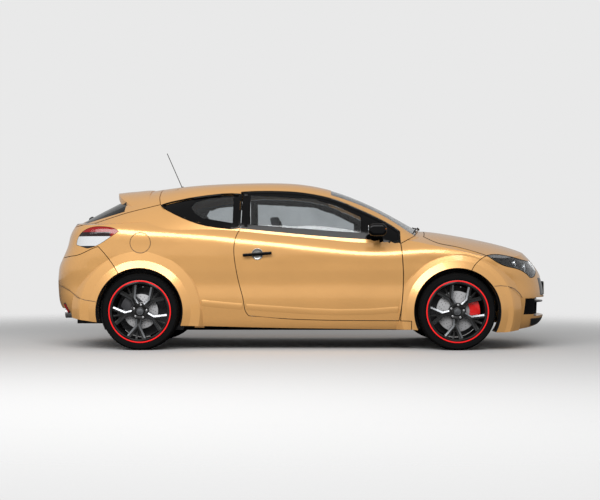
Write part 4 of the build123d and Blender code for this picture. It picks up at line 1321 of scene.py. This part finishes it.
@dataclass(frozen=True)
class LampBands(Finish):
    """Red lens above and ahead, a dark band, and a clear lens low at the rear, with fine ribs."""

    colour: Colour = srgb(140, 3, 7)
    roughness: float = 0.1
    coat: float = 0.4

    def smooth(self, sheet: NodeSheet) -> None:
        """Lays the bands by height, and ends them before the lamp's front tip.

        Args:
            sheet: The material's node sheet.
        """
        split = sheet.add("ShaderNodeSeparateXYZ")
        sheet.link(sheet.place(), split.inputs["Vector"])
        height = self.share(sheet, split.outputs["Z"], 0.85, 1.03)
        ramp = sheet.add("ShaderNodeValToRGB")
        ramp.color_ramp.interpolation = "CONSTANT"
        stops = ramp.color_ramp.elements
        stops[0].position, stops[0].color = 0.0, srgb(28, 28, 30)
        stops[1].position, stops[1].color = 0.10, srgb(206, 208, 210)
        for position, colour in ((0.54, srgb(26, 6, 8)), (0.74, self.colour)):
            stop = stops.new(position)
            stop.color = colour
        sheet.link(height, ramp.inputs["Fac"])
        ahead = self.share(sheet, split.outputs["X"], -1.60, -1.58)
        mixed = sheet.add("ShaderNodeMix", data_type="RGBA")
        sheet.link(ahead, mixed.inputs["Factor"])
        sheet.link(ramp.outputs["Color"], mixed.inputs["A"])
        mixed.inputs["B"].default_value = self.colour
        sheet.link(mixed.outputs["Result"], sheet.shader.inputs["Base Color"])
        ribs = sheet.add("ShaderNodeTexWave", Scale=42.0)
        ribs.bands_direction = "X"
        sheet.link(sheet.place(), ribs.inputs["Vector"])
        self.rough(sheet, ribs.outputs["Fac"], 0.03)
        sheet.bump(ribs.outputs["Fac"], 0.0015, 0.35)

    @staticmethod
    def share(sheet: NodeSheet, value: bpy.types.NodeSocket, low: float,
              high: float) -> bpy.types.NodeSocket:
        """Maps a value from a range onto 0 to 1.

        Args:
            sheet: The node sheet.
            value: The value's socket.
            low: Value that gives 0.
            high: Value that gives 1.

        Returns:
            The mapped value's socket.
        """
        mapped = sheet.add("ShaderNodeMapRange")
        mapped.inputs["From Min"].default_value, mapped.inputs["From Max"].default_value = low, high
        sheet.link(value, mapped.inputs["Value"])
        return mapped.outputs["Result"]


# ---------------------------------------------------------------- nose and tail fittings
@dataclass
class Nose:
    """Grille panel with its honeycomb, and the blank front plate."""

    cell: float = 0.026
    plate_size: Point = (0.520, 0.112, 0.004)
    plate_at: Point = (2.1325, 0, 0.510)
    free_half: float = 0.275
    free_span: tuple[float, float] = (0.44, 0.58)

    def build(self) -> None:
        """Builds the fittings of the nose."""
        dressed_copy("grille", GLOSS_BLACK, 0.001)
        self.mesh("upper_mesh", 0.385, 0.456, 0.596, True)
        self.mesh("lower_mesh", 0.625, 0.284, 0.388, False)
        self.plate()

    def mesh(self, name: str, half: float, low: float, high: float, plate: bool) -> None:
        """Lays a honeycomb over part of the grille.

        Args:
            name: The piece's name.
            half: Half its width.
            low: Its lower edge.
            high: Its upper edge.
            plate: Leave the plate's place free.
        """
        piece = primitive(name, bpy.ops.mesh.primitive_circle_add, vertices=6, radius=self.cell / 2,
                          fill_type="NGON")
        shape = bmesh.new()
        across, up = self.cell * 0.866, self.cell * 0.75
        rows = int((high - low) / up)
        columns = int(2 * half / across)
        for row in range(rows + 1):
            for column in range(columns + 1):
                y = -half + (column + 0.5 * (row % 2)) * across
                z = low + self.cell / 2 + row * up
                if abs(y) > half - self.cell / 2 or z > high - self.cell / 2:
                    continue
                if plate and abs(y) < self.free_half and self.free_span[0] < z < self.free_span[1]:
                    continue
                placing = Matrix.Translation((2.4, y, z)) @ Matrix.Rotation(math.radians(90), 4, "Y")
                bmesh.ops.create_circle(shape, cap_ends=True, segments=6, radius=self.cell / 2,
                                        matrix=placing)
        bmesh.ops.remove_doubles(shape, verts=shape.verts, dist=0.001)
        shape.to_mesh(piece.data)
        shape.free()
        wrap = piece.modifiers.new("lie", "SHRINKWRAP")
        wrap.wrap_method, wrap.use_project_x = "PROJECT", True
        wrap.use_negative_direction, wrap.use_positive_direction = True, False
        wrap.target, wrap.offset = frame["nodes"]["grille"], 0.004
        wires = piece.modifiers.new("wires", "WIREFRAME")
        wires.thickness = 0.0045
        apply_all(piece)
        settle(piece, "chassis", GLOSS_BLACK)

    def plate(self) -> None:
        """Builds the blank front plate with its two bolts."""
        blank_plate("front_plate", Vector(self.plate_at), 1, "chassis", self.plate_size)


def blank_plate(name: str, place: Vector, ahead: int, body: str, size: Point) -> None:
    """Builds a blank number plate with a pressed rim and two bolts.

    Args:
        name: The piece's name.
        place: Middle of its back.
        ahead: 1 when it looks forwards, -1 when it looks back.
        body: The body that it rides on.
        size: Its width, height and thickness.
    """
    turn = upright(ahead)
    placing = Matrix.Translation(place + Vector((ahead * size[2] / 2, 0, 0))) @ turn
    plate = rounded_box(name, size, placing, 0.0015, 2)
    pick_faces(plate, lambda face: face.normal.x * ahead > 0.98)
    edit(plate, lambda: bpy.ops.mesh.inset(thickness=0.004, depth=0.0),
         lambda: bpy.ops.mesh.inset(thickness=0.0015, depth=-0.0012))
    settle(plate, body, PLATE)
    bolts = []
    for y in (-0.15, 0.15):
        at = Matrix.Translation(place + Vector((ahead * size[2] * 0.8, y, 0))) @ turn
        bolts.append(turned_piece("bolt", [
            (0.0, 0.0045), (0.0035, 0.0042), (0.0055, 0.0030), (0.0065, 0.0012), (0.0065, 0.0), (0.0, 0.0),
        ], at, 16))
    settle(join(bolts, f"{name}_bolts"), body, STEEL)


@dataclass
class Tail:
    """Plate, exhaust with its tip, reflectors and rear wiper."""

    plate_size: Point = (0.520, 0.110, 0.004)
    plate_at: Point = (-2.1285, 0, 0.513)
    pipe_end: Point = (-2.118, 0, 0.280)
    reflector_at: tuple[float, float] = (-1.99, 0.345)
    reflector_slant: float = -14
    wiper_foot: Point = (-1.902, 0.0, 2.0)
    wiper_tip: Point = (-1.840, 0.34, 2.0)

    def build(self) -> None:
        """Builds the fittings of the tail."""
        blank_plate("rear_plate", Vector(self.plate_at), -1, "chassis", self.plate_size)
        self.exhaust()
        self.reflectors()
        self.wiper()

    def exhaust(self) -> None:
        """Dresses the exhaust in dark steel that also carries painted shade, and fits a rolled tip."""
        dressed_copy("exhaust", MUFFLER, 0.006)
        turn = Matrix.Rotation(math.radians(-90), 4, "Y")
        tip = turned_piece("exhaust_tip", [
            (0.0465, -0.100), (0.0470, 0.015), (0.0485, 0.022), (0.0470, 0.028), (0.0440, 0.026),
            (0.0430, 0.010), (0.0430, -0.002), (0.0, -0.002), (0.0, -0.004), (0.0462, -0.004),
        ], Matrix.Translation(self.pipe_end) @ turn, 48)
        settle(tip, "chassis", STEEL)

    def reflectors(self) -> None:
        """Lays a red reflector with a faint painted glow in a black surround low on each rear corner."""
        for side in Side:
            x, z = self.reflector_at
            place, normal = surface_point("rear_bumper", (x, side.value * 1.3, z), (0, -side.value, 0))
            slant = math.radians(self.reflector_slant) * side.value
            for name, size, lift, finish, slot in (
                    ("rear_reflector_surround", (0.046, 0.096, 0.006), 0.001, BLACK, "black_trim"),
                    ("rear_reflector", (0.030, 0.078, 0.006), 0.003, GLOWING_RED_LENS, "lamp_red")):
                piece = rounded_box(f"{name}_{side.word}", size,
                                    facing(normal, place + normal * lift, slant), 0.0028)
                settle(piece, "chassis", finish)

    def wiper(self) -> None:
        """Builds the rear wiper on the tailgate's glass."""
        foot, foot_normal = surface_point("rear_glass", self.wiper_foot, (0, 0, -1))
        tip, tip_normal = surface_point("rear_glass", self.wiper_tip, (0, 0, -1))
        boss = turned_piece("boss", [
            (0.0, 0.040), (0.016, 0.038), (0.024, 0.030), (0.027, 0.006), (0.032, 0.0), (0.0, 0.0)],
            facing(foot_normal, foot))
        start, finish = foot + foot_normal * 0.030, tip + tip_normal * 0.014
        arm = bar_between("arm", start, finish, 0.020, 0.014)
        blade = bar_between("blade", start.lerp(finish, 0.25) - foot_normal * 0.016,
                            finish + (finish - start) * 0.22 - tip_normal * 0.006, 0.008, 0.012)
        settle(join([boss, arm, blade], "rear_wiper"), "tailgate", BLACK)


def bar_between(name: str, start: Vector, finish: Vector, width: float, height: float) -> bpy.types.Object:
    """Models a slim bar between two points, with rounded edges.

    Args:
        name: The piece's name.
        start: One end.
        finish: The other end.
        width: Its width.
        height: Its height.

    Returns:
        The bar.
    """
    run = finish - start
    turn = run.to_track_quat("X", "Z").to_matrix().to_4x4()
    placing = Matrix.Translation((start + finish) / 2) @ turn
    return rounded_box(name, (run.length, width, height), placing, min(width, height) * 0.4, 2)


@dataclass
class BodyLines:
    """Black strips of painted shade along the gaps between mouldings and round the fuel flap, and the raised
    crease along each sill.
    """

    bumper_line: Outline = field(default_factory=lambda: [
        (1.592, 0.533), (1.650, 0.537), (1.712, 0.531), (1.766, 0.512), (1.812, 0.478), (1.850, 0.434)])
    tail_line: Outline = field(default_factory=lambda: [
        (-2.070, 0.540), (-2.020, 0.526), (-1.962, 0.502), (-1.912, 0.468), (-1.866, 0.440),
        (-1.800, 0.418), (-1.705, 0.404)])
    quarter_crease: Outline = field(default_factory=lambda: [
        (-0.835, 0.394), (-0.720, 0.382), (-0.600, 0.371), (-0.500, 0.363)])
    door_crease: Outline = field(default_factory=lambda: [
        (-0.462, 0.360), (-0.200, 0.342), (0.050, 0.325), (0.300, 0.316), (0.560, 0.320), (0.800, 0.338)])
    flap_at: tuple[float, float] = (-1.343, 0.893)
    flap_radius: float = 0.0842
    groove_width: float = 0.004
    crease_width: float = 0.052

    def build(self) -> None:
        """Lays the lines on both flanks."""
        for side in Side:
            # Gap lines are thin black strips laid flush on the panels: painted shade for the gaps; nothing is
            # cut into the panels.
            gap_shade_strip = {"lift": 0.0, "thickness": 0.0012}
            for name, node, line in (
                    ("bumper_groove", "front_bumper", self.bumper_line),
                    ("tail_groove", "rear_bumper", self.tail_line)):
                piece = Ribbon((node,), side, **gap_shade_strip).lay(
                    f"{name}_{side.word}", spaced(line, 0.015), self.groove_width)
                settle(piece, "chassis", CHASSIS)
            if side is Side.RIGHT:
                (x, z), radius, steps = self.flap_at, self.flap_radius, 72
                ring = [(x + radius * math.cos(turn), z + radius * math.sin(turn))
                        for turn in (math.tau * step / steps for step in range(steps + 1))]
                piece = Ribbon(("body_shell", "fuel_flap"), side, **gap_shade_strip).lay("flap_groove", ring, 0.0026)
                settle(piece, "chassis", CHASSIS)
            door = f"door_{side.word}"
            for name, node, line, body in (
                    ("quarter_crease", "body_shell", self.quarter_crease, "chassis"),
                    ("door_crease", door, self.door_crease, door)):
                piece = Ribbon((node,), side, lift=-0.0022, ridge=0.0065).lay(
                    f"{name}_{side.word}", spaced(line, 0.025), self.crease_width)
                settle(piece, body, PAINT)


@dataclass
class WheelHouses:
    """Dark inner walls of the four wheel houses."""

    radius: float = 0.371
    foot: float = 0.158
    axle_height: float = 0.322
    steps: int = 40

    def build(self) -> None:
        """Builds one wall behind each wheel."""
        for end, out in (("front", 0.493), ("rear", 0.632)):
            for side in Side:
                low, high = box_of(f"tyre_{end}_{side.word}")
                centre = Vector(((low.x + high.x) / 2, out * side.value, self.axle_height))
                self.wall(f"house_wall_{end}_{side.word}", centre)

    def wall(self, name: str, centre: Vector) -> None:
        """Builds one wall: a disc cut off level at its foot, with a turned-over rim.

        Args:
            name: The piece's name.
            centre: Its centre, on the axle's line.
        """
        wall = primitive(name, bpy.ops.mesh.primitive_circle_add, vertices=self.steps, radius=self.radius,
                         fill_type="NGON", location=centre, rotation=(math.radians(90), 0, 0))
        bpy.ops.object.transform_apply(location=True, rotation=True, scale=True)
        edit(wall, whole,
             lambda: bpy.ops.mesh.bisect(plane_co=(0, 0, self.foot), plane_no=(0, 0, 1), clear_inner=True,
                                         use_fill=False),
             whole, lambda: bpy.ops.mesh.inset(thickness=0.012, depth=0.0),
             lambda: bpy.ops.mesh.inset(thickness=0.006, depth=0.004))
        thicken(wall, 0.004, 0.0, 30)
        settle(wall, "chassis", CHASSIS)


# ---------------------------------------------------------------- cabin and chassis
@dataclass
class Cabin:
    """Seats, dashboard, steering wheel and small fittings inside."""

    hood_at: Point = (0.70, 0.37, 0.905)
    lever_at: Point = (0.32, 0.0, 0.505)
    mirror_at: Point = (0.405, 0.0, 1.255)

    def build(self) -> None:
        """Dresses the cabin."""
        for node, finish in (("front_seats", CLOTH), ("rear_bench", CLOTH),
                             ("dashboard", CABIN), ("steering_wheel", CABIN)):
            dressed_copy(node, finish, angle=35)
        self.instruments()

    def instruments(self) -> None:
        """Builds the instrument hood, the gear lever and the inner mirror."""
        hood = rounded_box("instrument_hood", (0.16, 0.30, 0.07), Matrix.Translation(self.hood_at), 0.028, 4)
        settle(hood, "chassis", CABIN)
        lever = turned_piece("gear_lever", [
            (0.0, 0.135), (0.014, 0.132), (0.021, 0.118), (0.020, 0.100), (0.010, 0.086), (0.007, 0.050),
            (0.040, 0.010), (0.050, 0.0), (0.0, 0.0)], Matrix.Translation(self.lever_at))
        settle(lever, "chassis", CABIN)
        mirror = rounded_box("cabin_mirror", (0.020, 0.22, 0.060), Matrix.Translation(self.mirror_at), 0.009)
        settle(mirror, "chassis", CABIN)


@dataclass
class RunningGear:
    """Uprights, axle, subframe and engine, seen from below and through the wheels."""

    def build(self) -> None:
        """Dresses the running gear."""
        for side in Side:
            knuckle = dressed_copy(f"knuckle_{side.word}", RED_ENAMEL, 0.003, 35)
            low, high = box_of(f"knuckle_{side.word}")
            caliper_from = low.x + 0.62 * (high.x - low.x)
            paint_faces(knuckle, CHASSIS, lambda face: face.center.x < caliper_from)
        for node, finish in (("rear_axle", CHASSIS), ("front_subframe", CHASSIS),
                             ("powertrain", ENGINE), ("floor_pan", CHASSIS)):
            dressed_copy(node, finish, 0.0 if node == "floor_pan" else 0.006, 35)


@dataclass
class Outfit:
    """Wipers and aerial."""

    def build(self) -> None:
        """Dresses the wipers and the aerial."""
        for node in ("wipers", "aerial"):
            dressed_copy(node, BLACK, angle=40)


# ---------------------------------------------------------------- light and camera
@dataclass(frozen=True)
class FloorFinish(Finish):
    """A plain matt floor that thins out with distance, so that it shows no far edge; shiny surfaces see it
    darker, a painted reflection.
    """

    near: float = 3.2
    far: float = 8.5
    # Colour that glossy rays see instead of the floor's own: a painted dark reflection on the lower body.
    mirrored: Colour = srgb(70, 70, 70)

    def smooth(self, sheet: NodeSheet) -> None:
        """Lays a faint mottle, paints the floor's mirror image darker than the floor itself, a painted
        reflection that darkens the lower flanks, and fades the floor out with distance.

        Args:
            sheet: The material's node sheet.
        """
        path = sheet.add("ShaderNodeLightPath")
        seen = sheet.add("ShaderNodeMix", data_type="RGBA")
        sheet.link(path.outputs["Is Glossy Ray"], seen.inputs["Factor"])
        mottle = sheet.noise(90.0, 3.0)
        sheet.link(sheet.blend_colours(mottle, shade_of(self.colour, 0.985), shade_of(self.colour, 1.015)),
                   seen.inputs["A"])
        seen.inputs["B"].default_value = self.mirrored
        sheet.link(seen.outputs["Result"], sheet.shader.inputs["Base Color"])
        self.rough(sheet, sheet.noise(40.0, 3.0), 0.04)
        length = sheet.add("ShaderNodeVectorMath", operation="LENGTH")
        sheet.link(sheet.place(), length.inputs[0])
        fade = sheet.add("ShaderNodeMapRange", interpolation_type="SMOOTHSTEP")
        for key, value in (("From Min", self.near), ("From Max", self.far),
                           ("To Min", 1.0), ("To Max", 0.0)):
            fade.inputs[key].default_value = value
        sheet.link(length.outputs["Value"], fade.inputs["Value"])
        kept = sheet.add("ShaderNodeMath", operation="MAXIMUM")
        sheet.link(fade.outputs["Result"], kept.inputs[0])
        sheet.link(path.outputs["Is Glossy Ray"], kept.inputs[1])
        sheet.link(kept.outputs[0], sheet.shader.inputs["Alpha"])


FLOOR = FloorFinish("pale_floor", srgb(212, 212, 212), 0.9)


@dataclass
class Studio:
    """Floor, backdrop, lamps and camera."""

    camera_place: Point = (0.063, -10.39, 0.675)
    lens: float = 68.7
    shift: tuple[float, float] = (-0.016, 0.0318)
    backdrop: Colour = srgb(233, 233, 233)
    sky: float = 0.36
    mirrored: float = 0.5

    def build(self) -> None:
        """Builds the floor, the lamps, the world and the camera."""
        self.camera()
        self.floor()
        self.world()
        self.lamp("key_lamp", (-1.5, -7.2, 5.0), (9.0, 3.6), 690, True)
        self.lamp("fill_lamp", (4.5, 6.5, 2.2), (3.0, 3.0), 55, False)
        bpy.context.scene.view_settings.view_transform = "Standard"

    def camera(self) -> None:
        """Sets the camera square to the car's right side."""
        bpy.ops.object.camera_add(location=self.camera_place, rotation=(math.radians(90), 0, 0))
        camera = bpy.context.object
        camera.name = "camera"
        camera.data.lens, camera.data.sensor_width = self.lens, 36
        camera.data.shift_x, camera.data.shift_y = self.shift
        camera.data.clip_end = 400
        bpy.context.scene.camera = camera

    def floor(self) -> None:
        """Lays a wide pale floor."""
        floor = primitive("floor", bpy.ops.mesh.primitive_plane_add, size=120, location=(0, 0, 0))
        edit(floor, whole, lambda: bpy.ops.mesh.subdivide(number_cuts=6))
        floor.data.materials.append(FLOOR.material())

    def world(self) -> None:
        """Makes a pale surround: even light, a dimmer mirror image, and a plain backdrop."""
        world = bpy.data.worlds.new("studio")
        world.use_nodes = True
        tree = world.node_tree
        plain = tree.nodes["Background"]
        plain.inputs["Color"].default_value = (1, 1, 1, 1)
        plain.inputs["Strength"].default_value = self.sky
        path = tree.nodes.new("ShaderNodeLightPath")
        shown = plain
        for colour, strength, rays in (((1, 1, 1, 1), self.mirrored, ("Is Glossy Ray",)),
                                       (self.backdrop, 1.0, ("Is Camera Ray", "Is Transmission Ray"))):
            ground = tree.nodes.new("ShaderNodeBackground")
            ground.inputs["Color"].default_value, ground.inputs["Strength"].default_value = colour, strength
            for ray in rays:
                mix = tree.nodes.new("ShaderNodeMixShader")
                tree.links.new(path.outputs[ray], mix.inputs["Fac"])
                tree.links.new(shown.outputs[0], mix.inputs[1])
                tree.links.new(ground.outputs[0], mix.inputs[2])
                shown = mix
        tree.links.new(shown.outputs[0], tree.nodes["World Output"].inputs["Surface"])
        bpy.context.scene.world = world

    def lamp(self, name: str, place: Point, size: tuple[float, float], power: float,
             mirrored: bool) -> None:
        """Hangs one soft lamp that looks at the middle of the car.

        Args:
            name: The lamp's name.
            place: Where it hangs.
            size: Its width and height.
            power: Its power in watts.
            mirrored: Whether shiny surfaces show it.
        """
        aim = (Vector((0, 0, 0.6)) - Vector(place)).to_track_quat("-Z", "Y").to_euler()
        bpy.ops.object.light_add(type="AREA", location=place, rotation=aim)
        lamp = bpy.context.object
        lamp.name = name
        lamp.data.shape = "RECTANGLE"
        lamp.data.size, lamp.data.size_y = size
        lamp.data.energy = power
        lamp.visible_glossy = mirrored


def main() -> None:
    """Builds the car's dressed pieces and the studio in order."""
    logging.basicConfig(level=logging.INFO, format="%(message)s")
    Studio().build()
    for work in (Bodywork(), Glazing(), SideTrim(), HeadLamps(), TailLamps(), Nose(), Tail(),
                 BodyLines(), WheelHouses(), Cabin(), RunningGear(), Outfit()):
        LOG.info("%s", type(work).__name__)
        work.build()
    for end in ("front", "rear"):
        for side in Side:
            Wheel(end, side).build()


if __name__ == "__main__":
    main()
